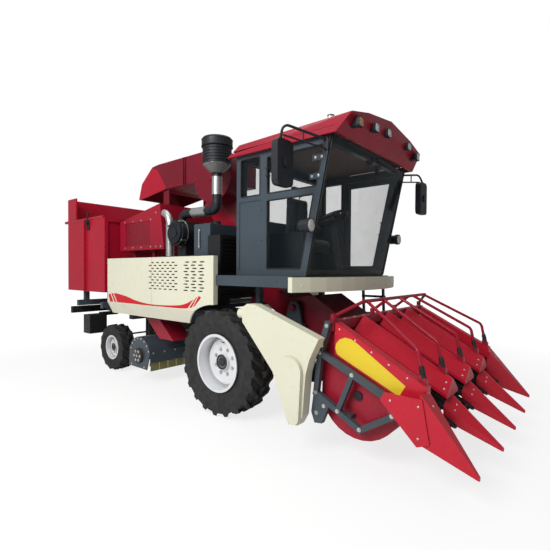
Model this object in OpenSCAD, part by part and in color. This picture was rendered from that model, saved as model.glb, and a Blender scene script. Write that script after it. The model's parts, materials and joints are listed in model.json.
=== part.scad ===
// Self-propelled four-row maize harvester. Millimetres, +X forward, +Y left, +Z up.
// Modules work from the front axle's centre line on the ground; place() moves all to the part's frame.

/* [Running gear] */
// Distance between front and rear wheel centres
wheelbase = 3050; // [2950:10:3150]
// Distance between the front tyres' middle planes
front_track = 1950; // [1930:5:1980]
// Distance between the rear tyres' middle planes
rear_track = 1460; // [1440:5:1480]
// Front tyre diameter over the lugs
front_tyre_d = 1280; // [1240:5:1300]
// Front tyre width
front_tyre_w = 380; // [350:5:390]
// Rear tyre diameter over the lugs
rear_tyre_d = 800; // [760:5:820]
// Rear tyre width
rear_tyre_w = 260; // [240:5:270]
// Front rim bead seat radius
front_seat_r = 330; // [310:1:340]
// Rear rim bead seat radius
rear_seat_r = 196; // [185:1:200]
// Lugs on each half of a front tyre
front_lugs = 20; // [18:1:20]
// Lugs on each half of a rear tyre
rear_lugs = 14; // [12:1:14]
// How far a lug's inner end runs ahead of its outer end, in degrees
lug_sweep = 14; // [8:1:16]

/* [Frame] */
// Underside of the two long rails
rail_z = 960; // [940:5:980]
// Rail height
rail_h = 160; // [150:5:170]
// Rail width
rail_w = 90; // [80:5:100]
// Middle plane of each rail from the machine's centre
rail_y = 430; // [425:1:435]

/* [Cab] */
// Half width of the cab
cab_half_w = 940; // [900:5:960]
// Top of the deck the cab stands on
deck_z = 1700; // [1680:5:1720]
// Rear face of the cab
cab_rear_x = 134; // [130:1:150]
// Foot of the windscreen pillars
cab_front_x = 1160; // [1130:5:1200]
// Height of the cab walls
cab_h = 1430; // [1390:5:1450]
// Forward lean of the windscreen pillars over that height
cab_lean = 300; // [260:5:320]
// Thickness of the cab walls
wall_t = 50; // [40:1:60]

/* [Header] */
// Distance between rows
row_pitch = 590; // [580:1:600]
// Inner divider tips ahead of the front axle
tip_x = 2950; // [2900:5:3000]
// Height of the divider tips
tip_z = 260; // [240:5:300]
// Lift pivot ahead of the front axle
pivot_x = 620; // [610:1:630]
// Lift pivot height
pivot_z = 1300; // [1290:1:1310]
// Centre of the cross auger ahead of the front axle
auger_x = 1880; // [1870:1:1890]
// Height of the cross auger
auger_z = 630; // [620:1:640]
// Outer radius of the auger flight
auger_r = 330; // [300:1:345]

/* [Ear bin] */
// Front wall of the bin behind the front axle
bin_front = 2800; // [2790:5:2830]
// Bin length
bin_l = 1350; // [1300:5:1400]
// Half width of the bin
bin_half_w = 1110; // [1090:5:1115]
// Underside of the bin
bin_z = 1380; // [1380:5:1400]
// Height of the side walls
bin_h = 1240; // [1200:5:1280]

/* [Stalk chopper] */
// Half width of the chopper
chop_half_w = 950; // [900:5:960]
// Rotor axis behind the front axle
rotor_x = 1970; // [1960:1:1980]
// Rotor axis height
rotor_z = 430; // [425:1:440]
// Radius to the knives' cutting ends
knife_r = 235; // [200:1:240]

/* [Fits] */
// Radial clearance of running pins and shafts
run = 0.05; // [0.02:0.01:0.1]
// Gap between pieces that are bolted face to face
seat = 0.3; // [0.2:0.05:0.4]

/* [Hidden] */
front_r = front_tyre_d / 2;
rear_r = rear_tyre_d / 2;
rear_x = -wheelbase;
rail_top = rail_z + rail_h;
rail_in = rail_y - rail_w / 2;
rail_out = rail_y + rail_w / 2;
bin_rear = bin_front + bin_l;
bin_top = bin_z + bin_h;
rim_tube_over = 110;
x_front = tip_x;
x_rear = -bin_rear - rim_tube_over;
x_mid = (x_front + x_rear) / 2;
rail_rear = -bin_rear + 200;
rail_front = pivot_x + 160;
out_z = rail_top + 80;
out_top = out_z + 60;
cab_top = deck_z + cab_h;
kingpin_y = rear_track / 2 - 200;
mirror_y = 1460;
deck_half_w = 1150;
deck_t = 40;
beam_h = 120;
cover_y = 1190;
cover_top = 1934;
cover_fold = 1250;
head_half = 2 * row_pitch + 20;
hood_rear = 1660;
hood_front = 2540;
hood_top_rear = 1300;
hood_top_front = 800;
hood_slope = (hood_top_front - hood_top_rear) / (hood_front - hood_rear);
hinge_y = bin_half_w + 90;
hinge_z = bin_z + 970;
tip_b = [800, 1040];
tip_p = [900, 2400];
lift_b = [200, 620];
lift_p = [1150, 750];
lift_y = 520;
chop_pivot = [-1050, 820];
lean = cab_lean / cab_h;
lamp_x = cab_front_x + cab_lean + 230;
pillar_b = 566;
lamp_spots = [[-790, cab_top + 95], [-430, cab_top + 140], [-120, cab_top + 165], [470, cab_top + 160],
  [760, cab_top + 100]];
low_head = 0.594 * cab_h;
high_sill = 0.65 * cab_h;
high_head = 0.937 * cab_h;
rear_head = 0.958 * cab_h;
hood_drop = 160;
guard_x = 1790;
guard_z = 1465;
husk_x = [-2650, -1520];
husk_floor = 2070;
husk_low = 2550;
husk_high = 2750;
pillar_x = [-bin_front - 200, -bin_rear + 260];
cyl_x = [-bin_front + 70, -bin_rear - 70];

function edge_z(x) = hood_top_rear - 20 - 450 / 838 * (x - hood_rear - 2);
function hood_low(x) =
  hood_top_rear - hood_drop - 1 + (x - hood_rear) * (hood_slope + 10 / (hood_front - hood_rear));
function ridge_z(x) = hood_top_rear + hood_slope * (x - hood_rear);
function on_ring(r, a) = r * [cos(a), sin(a)];
function arc_pts(c, r, a0, a1, n) = [for (i = [0 : n]) c + on_ring(r, a0 + (a1 - a0) * i / n)];
function band(c, ro, ri, a0, a1, n) = concat(arc_pts(c, ro, a0, a1, n), arc_pts(c, ri, a1, a0, n));
function unit(v) = v / norm(v);
function lug_up(i) = i % 4 == 1 || i % 4 == 2;
function lug_turn(i) = floor(i / 4) + [0, 0.1, 0.4, 0.5][i % 4];
function spot(r, a, z) = [r * cos(a), r * sin(a), z];
function bend_cut(p, c, q, bend) = bend * tan(acos(unit(c - p) * unit(q - c)) / 2);
function husk_z(x) = husk_low + (husk_high - husk_low) * (x - husk_x[0]) / (husk_x[1] - husk_x[0]);

module place() {
  translate([-x_mid, 0, 0]) children();
}

module both() {
  children();
  mirror([0, 1, 0]) children();
}

module rod(p, q, r) {
  d = q - p;
  translate(p)
    rotate([0, acos(d[2] / norm(d)), atan2(d[1], d[0])])
      cylinder(h = norm(d), r = r, $fn = 32);
}

module bar(p, q, a, b) {
  d = q - p;
  translate(p)
    rotate([0, acos(d[2] / norm(d)), atan2(d[1], d[0])])
      translate([-a / 2, -b / 2, 0]) cube([a, b, norm(d)]);
}

module block(x, y, z) {
  translate([x[0], y[0], z[0]]) cube([x[1] - x[0], y[1] - y[0], z[1] - z[0]]);
}

module side_plate(pts, y0, y1) {
  translate([0, y1, 0]) rotate([90, 0, 0]) linear_extrude(height = y1 - y0) polygon(pts);
}

module cross_plate(pts, x0, x1) {
  translate([x0, 0, 0]) rotate([90, 0, 90]) linear_extrude(height = x1 - x0) polygon(pts);
}

module pin_y(x, z, y0, y1, r) {
  translate([x, y0, z]) rotate([-90, 0, 0]) cylinder(h = y1 - y0, r = r, $fn = 48);
}

module pin_x(y, z, x0, x1, r) {
  translate([x0, y, z]) rotate([0, 90, 0]) cylinder(h = x1 - x0, r = r, $fn = 48);
}

module rounded(w, h, r) {
  square([w, h - 2 * r], center = true);
  square([w - 2 * r, h], center = true);
  for (x = [-1, 1]) for (y = [-1, 1])
    translate([x * (w / 2 - r), y * (h / 2 - r)]) circle(r = r, $fn = 32);
}

module tyre(od, w, seat_r, lugs) {
  r = od / 2;
  carcass = r - 0.034 * od;
  n = 4 * lugs;
  pitch = 360 / lugs;
  first = lug_sweep - 90 - 0.1 * pitch;
  bead = (seat_r + seat) / cos(180 / n);
  wall = bead + 0.55 * (r - bead);
  even = [for (i = [0 : n - 1]) first + 360 * i / n];
  near = [for (i = [0 : n - 1]) first + pitch * lug_turn(i)];
  far = [for (i = [0 : n - 1]) first + pitch * (lug_turn(i + 2) - 0.5)];
  points = concat(
    [for (a = even) spot(bead, a, 0.34 * w)],
    [for (a = even) spot(wall, a, 0.5 * w)],
    [for (i = [0 : n - 1]) lug_up(i) ? spot(r - 8, near[i], 0.45 * w) : spot(carcass, near[i], 0.46 * w)],
    [for (i = [0 : n - 1]) spot(lug_up(i) ? r : carcass, near[i] - lug_sweep, lug_up(i) ? 0.03 * w : 0.02 * w)],
    [for (a = even) spot(carcass, a - lug_sweep, 0)],
    [for (i = [0 : n - 1])
      spot(lug_up(i + 2) ? r : carcass, far[i] - lug_sweep, lug_up(i + 2) ? -0.03 * w : -0.02 * w)],
    [for (i = [0 : n - 1]) lug_up(i + 2) ? spot(r - 8, far[i], -0.45 * w) : spot(carcass, far[i], -0.46 * w)],
    [for (a = even) spot(wall, a, -0.5 * w)],
    [for (a = even) spot(bead, a, -0.34 * w)]);
  rings = 9;
  faces = [for (k = [0 : rings - 1]) for (i = [0 : n - 1]) for (half = [0, 1])
    let (a = k * n, b = (k + 1) % rings * n, j = (i + 1) % n)
      half == 0 ? [a + i, a + j, b + j] : [a + i, b + j, b + i]];
  polyhedron(points = points, faces = faces);
}

module rim(seat_r, flange_r, hw, dish, bore_r, hub_t) {
  rotate_extrude($fn = 64)
    polygon([[flange_r, hw], [flange_r, hw - 10], [seat_r, hw - 12], [seat_r, 12 - hw], [flange_r, 10 - hw],
      [flange_r, -hw], [seat_r - 12, -hw], [seat_r - 12, dish - 60], [0.8 * seat_r, dish - 14],
      [bore_r, dish - 14], [bore_r, dish + hub_t], [bore_r + 38, dish + hub_t], [bore_r + 38, dish],
      [0.8 * seat_r + 6, dish], [seat_r - 12, dish - 44], [seat_r - 12, hw]]);
}

module right_wheel(x, track, r) {
  translate([x, -track / 2, r]) rotate([90, 0, 0]) children();
}

module front_tyre_right() {
  color("#1c1c1d") right_wheel(0, front_track, front_r)
    tyre(front_tyre_d, front_tyre_w, front_seat_r, front_lugs);
}

module front_tyre_left() {
  color("#1c1c1d") mirror([0, 1, 0]) right_wheel(0, front_track, front_r)
    tyre(front_tyre_d, front_tyre_w, front_seat_r, front_lugs);
}

module front_rim_right() {
  color("#c9ccd0") right_wheel(0, front_track, front_r) rim(front_seat_r, front_seat_r + 20, 168, 35, 60, 40);
}

module front_rim_left() {
  color("#c9ccd0") mirror([0, 1, 0]) right_wheel(0, front_track, front_r)
    rim(front_seat_r, front_seat_r + 20, 168, 35, 60, 40);
}

module rear_tyre_right() {
  color("#1c1c1d") right_wheel(rear_x, rear_track, rear_r)
    tyre(rear_tyre_d, rear_tyre_w, rear_seat_r, rear_lugs);
}

module rear_tyre_left() {
  color("#1c1c1d") mirror([0, 1, 0]) right_wheel(rear_x, rear_track, rear_r)
    tyre(rear_tyre_d, rear_tyre_w, rear_seat_r, rear_lugs);
}

module rear_rim_right() {
  color("#c9ccd0") right_wheel(rear_x, rear_track, rear_r)
    rim(rear_seat_r, rear_seat_r + 14, 112, 45, 38, 30);
}

module rear_rim_left() {
  color("#c9ccd0") mirror([0, 1, 0]) right_wheel(rear_x, rear_track, rear_r)
    rim(rear_seat_r, rear_seat_r + 14, 112, 45, 38, 30);
}

module front_axle() {
  spin_y = front_track / 2 - 24;
  color("#22262a") {
    difference() {
      union() {
        both() {
          pin_y(0, front_r, 0, front_track / 2 - 300, 85);
          pin_y(0, front_r, front_track / 2 - 330, spin_y - 12, 165);
          pin_y(0, front_r, front_track / 2 - 160, front_track / 2 + 60, 60 - run);
          block([-90, 90], [rail_in, rail_out], [front_r, rail_z - seat]);
          block([60, lift_b[0] + 45], [rail_out - 60, lift_y - 50], [lift_b[1] - 45, lift_b[1] + 45]);
          pin_y(lift_b[0], lift_b[1], lift_y - 60, lift_y + 32, 22 - run);
        }
        pin_y(0, front_r, -190, 190, 190);
        block([-90, 90], [-rail_out, rail_out], [front_r - 60, front_r + 60]);
      }
      both() pin_y(0, front_r, spin_y - 20, front_track / 2, 300);
    }
    both() pin_y(0, front_r, front_track / 2 - 160, front_track / 2 + 60, 60 - run);
  }
}

module knuckle() {
  z0 = rear_r;
  translate([rear_x, -kingpin_y, 0]) {
    translate([0, 0, z0 - 130]) cylinder(h = 260, r = 25 - run, $fn = 48);
    for (z = [z0 - 130, z0 + 80]) block([-50, 50], [-110, 40], [z, z + 50]);
    block([-50, 50], [-110, -68], [z0 - 130, z0 + 130]);
    pin_y(0, z0, -200 - 70, -100, 38 - run);
    block([-190, -20], [-30, 30], [z0 + 130 - 1, z0 + 150]);
  }
}

module knuckle_right() {
  color("#2a2e33") knuckle();
}

module knuckle_left() {
  color("#2a2e33") mirror([0, 1, 0]) knuckle();
}

module tie_rod() {
  z = rear_r + 150 + seat;
  color("#3a4046") {
    rod([rear_x - 160, -kingpin_y + 20, z + 18], [rear_x - 160, kingpin_y - 20, z + 18], 16);
    both() translate([rear_x - 160, -kingpin_y, z]) cylinder(h = 36, r = 30, $fn = 48);
  }
}

module rear_axle() {
  z0 = rear_r;
  color("#2a2e33") difference() {
    union() {
      block([rear_x - 55, rear_x + 55], [-kingpin_y + 30, kingpin_y - 30], [z0 - 60, z0 + 60]);
      both() translate([rear_x, kingpin_y, z0 - 75]) cylinder(h = 150, r = 55, $fn = 48);
      block([rear_x - 60, rear_x + 60], [-rail_out, rail_out], [rail_z - 100, rail_z - seat]);
      for (x = [rear_x - 55, rear_x + 25])
        block([x, x + 30], [-140, 140], [z0 + 30, rail_z - 90]);
      pin_x(0, z0 + 160, rear_x - 90, rear_x + 90, 60);
      block([rear_x - 30, rear_x + 30], [-120, 120], [z0 + 40, z0 + 240]);
    }
    both() translate([rear_x, kingpin_y, z0 - 90]) cylinder(h = 180, r = 25, $fn = 48);
  }
}

module frame() {
  color("#3a434a") difference() {
    union() {
      both() {
        block([rail_rear, rail_front], [rail_in, rail_out], [rail_z, rail_top]);
        side_plate([[pivot_x - 130, rail_top - 10], [pivot_x + 130, rail_top - 10],
          [pivot_x + 75, pivot_z + 40],
          [pivot_x + 40, pivot_z + 75], [pivot_x - 40, pivot_z + 75], [pivot_x - 75, pivot_z + 40]],
          rail_in, rail_in + 45);
        side_plate([[chop_pivot[0] - 110, rail_z + 10], [chop_pivot[0] + 110, rail_z + 10],
          [chop_pivot[0] + 50, chop_pivot[1] - 50], [chop_pivot[0] - 50, chop_pivot[1] - 50]],
          rail_y - 20, rail_y + 20);
        block([265, 335], [rail_in, 735], [rail_top - 10, rail_top + 80]);
      }
      for (x = [-150, -1300, -2550, -3500])
        block([x - 40, x + 40], [-rail_in - 10, rail_in + 10], [rail_z + 20, rail_top - 20]);
      for (x = [-760, -1350, -1900, -2450]) {
        block([x - 35, x + 35], [-cover_y + 70, cover_y - 70], [out_z, out_top]);
        both() block([x - 35, x + 35], [rail_in, rail_out], [rail_top - 10, out_z + 10]);
      }
      for (x = pillar_x) {
        block([x - 40, x + 40], [-1050, hinge_y + 40], [rail_top - 20, rail_top + 80]);
        both() block([x - 40, x + 40], [850, 930], [rail_top + 70, bin_z - seat]);
        block([x - 40, x + 40], [hinge_y - 40, hinge_y + 40], [rail_top, hinge_z + 50]);
      }
      block([-2670, -2590], [-rail_in - 10, tip_b[0] + 50], [rail_z + 10, rail_top - 20]);
      block([cyl_x[0] + 44, -2660], [tip_b[0] - 45, tip_b[0] + 45], [tip_b[1] - 45, tip_b[1] + 45]);
      pin_x(tip_b[0], tip_b[1], cyl_x[0] - 25, cyl_x[0] + 60, 22 - run);
    }
    both() {
      pin_y(pivot_x, pivot_z, rail_in - 20, rail_out + 20, 40);
      pin_y(chop_pivot[0], chop_pivot[1], rail_y - 40, rail_y + 40, 25);
    }
    for (x = pillar_x) pin_x(hinge_y, hinge_z, x - 60, x + 60, 25);
  }
}

module deck() {
  color("#49535a") {
    block([cab_rear_x + 10, cab_front_x - 10], [-deck_half_w, deck_half_w], [deck_z - deck_t, deck_z - seat]);
    both() {
      block([seat, cab_front_x - 70], [deck_half_w - 60, deck_half_w], [deck_z - beam_h, deck_z - seat]);
      block([seat, cab_rear_x + 20], [deck_half_w - 200, deck_half_w - 50], [deck_z - deck_t, deck_z - seat]);
      block([265, 335], [665, 735], [rail_top + 80 + seat, deck_z - deck_t + 10]);
      block([265, 335], [rail_y + 100, deck_half_w - 50], [deck_z - beam_h, deck_z - deck_t + 10]);
      block([1000, 1080], [-10, deck_half_w - 50], [deck_z - beam_h + 20, deck_z - deck_t + 10]);
    }
    for (x = [760, 1080])
      bar([x, deck_half_w - 20, deck_z - 60], [x, deck_half_w + 80, 560], 40, 30);
    for (i = [0 : 3])
      block([745, 1095], [deck_half_w - 25 + 22 * i, deck_half_w + 55 + 22 * i],
        [deck_z - 330 - 260 * i, deck_z - 300 - 260 * i]);
    rod([500, deck_half_w - 25, deck_z - 20], [500, deck_half_w - 25, deck_z + 800], 16);
  }
}

module front_sill() {
  c = [-1262, 0];
  ro = 2752;
  a = asin(1225 / ro);
  color("#d9d4c0") difference() {
    translate([0, 0, deck_z - 160]) linear_extrude(height = 150)
      polygon(concat([[cab_front_x - 20, -1225]], arc_pts(c, ro, -a, a, 12), [[cab_front_x - 20, 1225]]));
    block([0, cab_front_x - 10 + seat], [-1300, 1300], [0, 3000]);
  }
}

module cab_side(open) {
  zb = deck_z;
  y0 = -cab_half_w - 20;
  y1 = -cab_half_w + wall_t + 20;
  difference() {
    side_plate([[cab_rear_x, zb], [cab_front_x, zb], [cab_front_x + cab_lean, cab_top],
      [cab_rear_x, cab_top + 60]],
      -cab_half_w, -cab_half_w + wall_t);
    if (open)
      side_plate([[pillar_b, zb + 50], [cab_front_x - 60, zb + 50],
        [cab_front_x - 60 + lean * (cab_h - 120), cab_top - 70], [pillar_b, cab_top - 70]], y0, y1);
    if (!open) {
      side_plate([[pillar_b + 54, zb + 80], [cab_front_x - 70, zb + 80],
        [cab_front_x - 70 + lean * (low_head - 80), zb + low_head], [pillar_b + 54, zb + low_head]], y0, y1);
      side_plate([[pillar_b + 54, zb + high_sill], [cab_front_x - 70 + lean * high_sill, zb + high_sill],
        [cab_front_x - 70 + lean * high_head, zb + high_head], [pillar_b + 54, zb + high_head]], y0, y1);
    }
    side_plate([[cab_rear_x + 70, zb + high_sill], [pillar_b - 56, zb + high_sill],
      [pillar_b - 56, zb + rear_head], [cab_rear_x + 70, zb + rear_head]], y0, y1);
    block([cab_rear_x + 50, pillar_b - 40], [y0, 8 - cab_half_w], [zb + 60, zb + high_sill - 60]);
  }
  if (!open)
    for (z = [high_sill + 70, high_head - 155])
      block([cab_front_x - 165 + lean * z, cab_front_x - 10 + lean * z], [-cab_half_w - 7, 2 - cab_half_w],
        [zb + z, zb + z + 62]);
}

module cab_frame() {
  color("#3b444b") {
    cab_side(false);
    mirror([0, 1, 0]) cab_side(true);
    difference() {
      block([cab_rear_x, cab_rear_x + wall_t], [-cab_half_w + 10, cab_half_w - 10], [deck_z, cab_top + 60]);
      block([0, cab_rear_x + 90], [-cab_half_w + 130, cab_half_w - 130], [deck_z + 700, cab_top - 60]);
    }
    block([cab_rear_x, cab_front_x], [-cab_half_w + 10, cab_half_w - 10], [deck_z, deck_z + 30]);
    block([cab_front_x - 40, cab_front_x], [-cab_half_w + 10, cab_half_w - 10], [deck_z, deck_z + 70]);
    for (z = [deck_z + 300, cab_top - 350]) {
      translate([pillar_b - 6, cab_half_w + 20, z - 20]) cylinder(h = 150, r = 7 - run, $fn = 32);
      block([pillar_b - 31, pillar_b + 1], [cab_half_w - 10, cab_half_w + 34], [z - 25, z - 5]);
    }
    block([cab_front_x + cab_lean - 110, cab_front_x + cab_lean - 40], [-cab_half_w + 10, cab_half_w - 10],
      [cab_top - 60, cab_top - seat]);
  }
}

module windscreen(t) {
  bow = 40;
  half = cab_half_w - 12;
  r = (half * half + bow * bow) / (2 * bow);
  a = asin(half / r);
  tilt = atan2(cab_lean, cab_h);
  intersection() {
    translate([cab_front_x + (t * cos(a) + seat) / cos(tilt), 0, deck_z]) rotate([0, tilt, 0])
      translate([0, 0, -200]) linear_extrude(height = cab_h + 500)
        polygon(band([bow - r, 0], r, r - t, -a, a, 16));
    block([0, 3000], [-2000, 2000], [deck_z + 5, cab_top - 2]);
  }
}

module cab_glass() {
  zb = deck_z;
  y0 = -cab_half_w + 20;
  x0 = pillar_b + 54 + seat;
  x1 = cab_front_x - 71;
  color("#8fb0b8") {
    windscreen(10);
    side_plate([[x0, zb + 80 + seat], [x1, zb + 80 + seat], [x1 + lean * (low_head - 81), zb + low_head - seat],
      [x0, zb + low_head - seat]], y0, y0 + 8);
    side_plate([[x0, zb + high_sill + seat], [x1 + lean * high_sill, zb + high_sill + seat],
      [x1 + lean * (high_head - 1), zb + high_head - seat], [x0, zb + high_head - seat]], y0, y0 + 8);
    both() block([cab_rear_x + 70 + seat, pillar_b - 56 - seat], [y0, y0 + 8],
      [zb + high_sill + seat, zb + rear_head - seat]);
    block([cab_rear_x + 20, cab_rear_x + 28], [-cab_half_w + 130 + seat, cab_half_w - 130 - seat],
      [zb + 700 + seat, cab_top - 60 - seat]);
  }
}

module door_outline(inset) {
  polygon([[pillar_b + 6 + inset, deck_z + 56 + inset], [cab_front_x - 68 - inset, deck_z + 56 + inset],
    [cab_front_x - 68 - inset + lean * (cab_h - 132 - 2 * inset), cab_top - 76 - inset],
    [pillar_b + 6 + inset, cab_top - 76 - inset]]);
}

module cab_door() {
  y1 = cab_half_w + 4;
  zh = 0.49 * cab_h;
  xh = cab_front_x - 103 + lean * (zh - 56);
  color("#2f363c") {
    difference() {
      translate([0, y1, 0]) rotate([90, 0, 0]) linear_extrude(height = 40) difference() {
        door_outline(0);
        door_outline(70);
      }
      translate([0, y1 - 16, 0]) rotate([90, 0, 0]) linear_extrude(height = 8 + 2 * seat) door_outline(69);
    }
    for (z = [deck_z + 300, cab_top - 350]) {
      difference() {
        union() {
          translate([pillar_b - 6, y1 + 16, z]) cylinder(h = 120, r = 14, $fn = 32);
          block([pillar_b - 4, pillar_b + 70], [y1 - 2, y1 + 16], [z + 10, z + 110]);
        }
        translate([pillar_b - 6, y1 + 16, z - 5]) cylinder(h = 130, r = 7, $fn = 32);
      }
    }
    block([xh - 15, xh + 15], [y1 - 4, y1 + 45], [deck_z + zh - 60, deck_z + zh + 60]);
  }
}

module door_glass() {
  y1 = cab_half_w + 4;
  color("#8fb0b8") translate([0, y1 - 16 - seat, 0]) rotate([90, 0, 0]) linear_extrude(height = 8)
    door_outline(70 + seat);
}

module lamp_set(grow) {
  for (p = lamp_spots)
    block([lamp_x - 130 - grow, lamp_x], [p[0] - 36 - grow, p[0] + 36 + grow],
      [p[1] - 34 - grow, p[1] + 34 + grow]);
}

module cab_roof() {
  z0 = cab_top + 60 + seat;
  lip = cab_top - 18;
  front = cab_front_x + cab_lean;
  color("#c01a22") {
    difference() {
      hull() {
        block([cab_rear_x - 100, front + 88], [-1000, 1000], [lip, lip + 6]);
        cross_plate([[-920, lip + 190], [-560, lip + 278], [0, lip + 352], [560, lip + 278], [920, lip + 190]],
          front + 210, front + 220);
        cross_plate([[-900, lip + 165], [-540, lip + 240], [0, lip + 300], [540, lip + 240], [900, lip + 165]],
          cab_rear_x, cab_rear_x + 10);
      }
      block([-500, front + 65], [-970, 970], [lip - 50, z0]);
      lamp_set(seat);
    }
    translate([1150, -450, lip + 200]) cylinder(h = 120, r = 60, $fn = 32);
  }
}

module driver_seat() {
  color("#26282b") {
    block([400, 560], [-150, 150], [deck_z + 30 + seat, deck_z + 330]);
    block([300, 760], [-240, 240], [deck_z + 330, deck_z + 450]);
    cross_plate([[-230, deck_z + 440], [230, deck_z + 440], [200, deck_z + 1050], [-200, deck_z + 1050]],
      290, 400);
    cross_plate([[-120, deck_z + 1040], [120, deck_z + 1040], [110, deck_z + 1200], [-110, deck_z + 1200]],
      300, 380);
  }
}

module control_console() {
  color("#33383d") {
    bar([1060, 0, deck_z + 30 + seat + 20], [930, 0, deck_z + 700], 90, 110);
    block([1000, 1110], [-90, 90], [deck_z + 30 + seat, deck_z + 90]);
    translate([925, 0, deck_z + 715]) rotate([0, -22, 0]) {
      difference() {
        cylinder(h = 28, r = 205, $fn = 48);
        translate([0, 0, -5]) cylinder(h = 40, r = 178, $fn = 48);
      }
      for (a = [90, 210, 330]) rotate([0, 0, a]) translate([0, -14, 4]) cube([185, 28, 18]);
      translate([0, 0, -20]) cylinder(h = 40, r = 40, $fn = 32);
    }
    block([300, 860], [-560, -330], [deck_z + 30 + seat, deck_z + 520]);
    for (i = [0 : 2]) rod([560 + 110 * i, -445, deck_z + 510], [590 + 110 * i, -445, deck_z + 720], 12);
  }
}

module mirror_set(x, fwd) {
  root = [cab_front_x + cab_lean - 50, cab_half_w + seat + 8, cab_top - 55];
  elbow = [cab_front_x + cab_lean - 60 + fwd, mirror_y - 70, cab_top + 20];
  arm = [x, mirror_y - 70, cab_top - 130];
  drop = [0, 0, -95];
  half_way = 0.45 * root + 0.55 * elbow;
  translate(root + [0, 0, -30]) cube([54, 16, 150], center = true);
  bent_tube(root, elbow, arm, 13, 60);
  rod(root + drop, elbow + drop + unit(arm - elbow) * 10, 9);
  rod(half_way, half_way + drop, 8);
  translate([x - 30, mirror_y - 122, cab_top - 336]) rotate([90, 0, 90]) linear_extrude(height = 60)
    rounded(245, 448, 55);
  translate([x - 48, mirror_y - 122, cab_top - 336]) rotate([90, 0, 90]) linear_extrude(height = 96)
    rounded(60, 90, 20);
}

module mirrors() {
  color("#1d1f21") {
    mirror([0, 1, 0]) mirror_set(1170, -190);
    mirror_set(1560, 100);
  }
}

module work_lamps() {
  z = deck_z + 510;
  x = cab_front_x + 80;
  color("#1d1f21") {
    lamp_set(0);
    for (p = lamp_spots)
      translate([lamp_x - 6, p[0], p[1]]) rotate([90, 0, 90]) linear_extrude(height = 28) rounded(100, 96, 22);
    translate([1150, -450, cab_top + 302 + seat]) cylinder(h = 96, r = 42, $fn = 32);
    both() {
      pin_y(x, z, cab_half_w + seat, cab_half_w + 110, 14);
      pin_x(cab_half_w + 150, z, x - 28, x + 82, 62);
      pin_x(cab_half_w + 150, z, x + 50, x + 92, 72);
    }
  }
}

module engine() {
  color("#2b2f33") side_plate([[-1400, out_top + seat], [-700, out_top + seat], [-700, 1380], [-300, 1380],
    [-300, 1950], [-1400, 1950]], -1050, -250);
}

module radiator() {
  color("#1e2124") {
    difference() {
      block([-300 + seat, -70], [-1020, -345], [1400, 2200]);
      block([-100, -60], [-980, -385], [1450, 2150]);
    }
    for (i = [0 : 13]) block([-101, -80], [-985, -380], [1465 + 50 * i, 1485 + 50 * i]);
  }
}

module oil_tank() {
  color("#49535a") {
    block([-620, -300], [-980, -480], [1950 + seat, 2360]);
    translate([-460, -730, 2350]) cylinder(h = 50, r = 55, $fn = 32);
    block([-520, -490], [-992, -975], [2050, 2290]);
  }
}

module air_intake() {
  py = -750;
  px = -430;
  pz = 2570;
  bend = 90;
  color("#232628") {
    pin_y(-1060, 2280, -960, -380, 180);
    pin_y(-1060, 2280, -985, -950, 150);
    pin_y(-1060, 2280, -997, -980, 70);
    for (y = [-880, -470]) pin_y(-1060, 2280, y - 15, y + 15, 187);
    block([-1150, -970], [-850, -500], [1950 + seat, 2200]);
    translate([-1180, py, 2350]) cylinder(h = pz - bend - 2340, r = 65, $fn = 32);
    translate([-1180 + bend, py, pz - bend]) rotate([90, 0, 180]) rotate_extrude(angle = 90, $fn = 48)
      translate([bend, 0]) circle(r = 60, $fn = 32);
    rod([-1190 + bend, py, pz], [px - bend + 10, py, pz], 65);
    translate([px - bend, py, pz + bend]) rotate([90, 0, 0]) rotate_extrude(angle = -90, $fn = 48)
      translate([bend, 0]) circle(r = 60, $fn = 32);
    translate([px, py, pz + bend - 10]) cylinder(h = 430, r = 65, $fn = 32);
    translate([px, py, 3050]) rotate_extrude($fn = 64)
      polygon(concat([[0, 0], [80, 0], [170, 92], [186, 104]],
        [for (i = [0 : 5]) for (k = [[186, 0], [194, 6], [194, 26], [186, 32]]) [k[0], 112 + 38 * i + k[1]]],
        [[206, 346], [206, 440], [190, 462], [110, 482], [0, 485]]));
  }
}

module exhaust() {
  px = -1310;
  bend = 190;
  color("#d5d6d4") {
    translate([px, -870, 1950 + seat]) cylinder(h = 470, r = 58, $fn = 32);
    translate([px - bend, -870, 2419.5]) rotate([90, 0, 0]) rotate_extrude(angle = 75, $fn = 48)
      translate([bend, 0]) circle(r = 54, $fn = 32);
  }
}

module slot(x, z, l, h) {
  c = h / 3;
  translate([x, z]) polygon([[c - l / 2, -h / 2], [l / 2 - c, -h / 2], [l / 2, c - h / 2], [l / 2, h / 2 - c],
    [l / 2 - c, h / 2], [c - l / 2, h / 2], [-l / 2, h / 2 - c], [-l / 2, c - h / 2]]);
}

module cover_slots() {
  for (row = [0 : 9]) {
    for (i = [0 : 5 - row % 2]) slot(-1325 + 59 * (row % 2) + 118 * i, 1500 + 40 * row, 70, 16);
    for (i = [0 : 2]) slot(-530 + 30 * (row % 2) + 145 * i, 1500 + 40 * row, 86, 16);
  }
}

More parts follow.
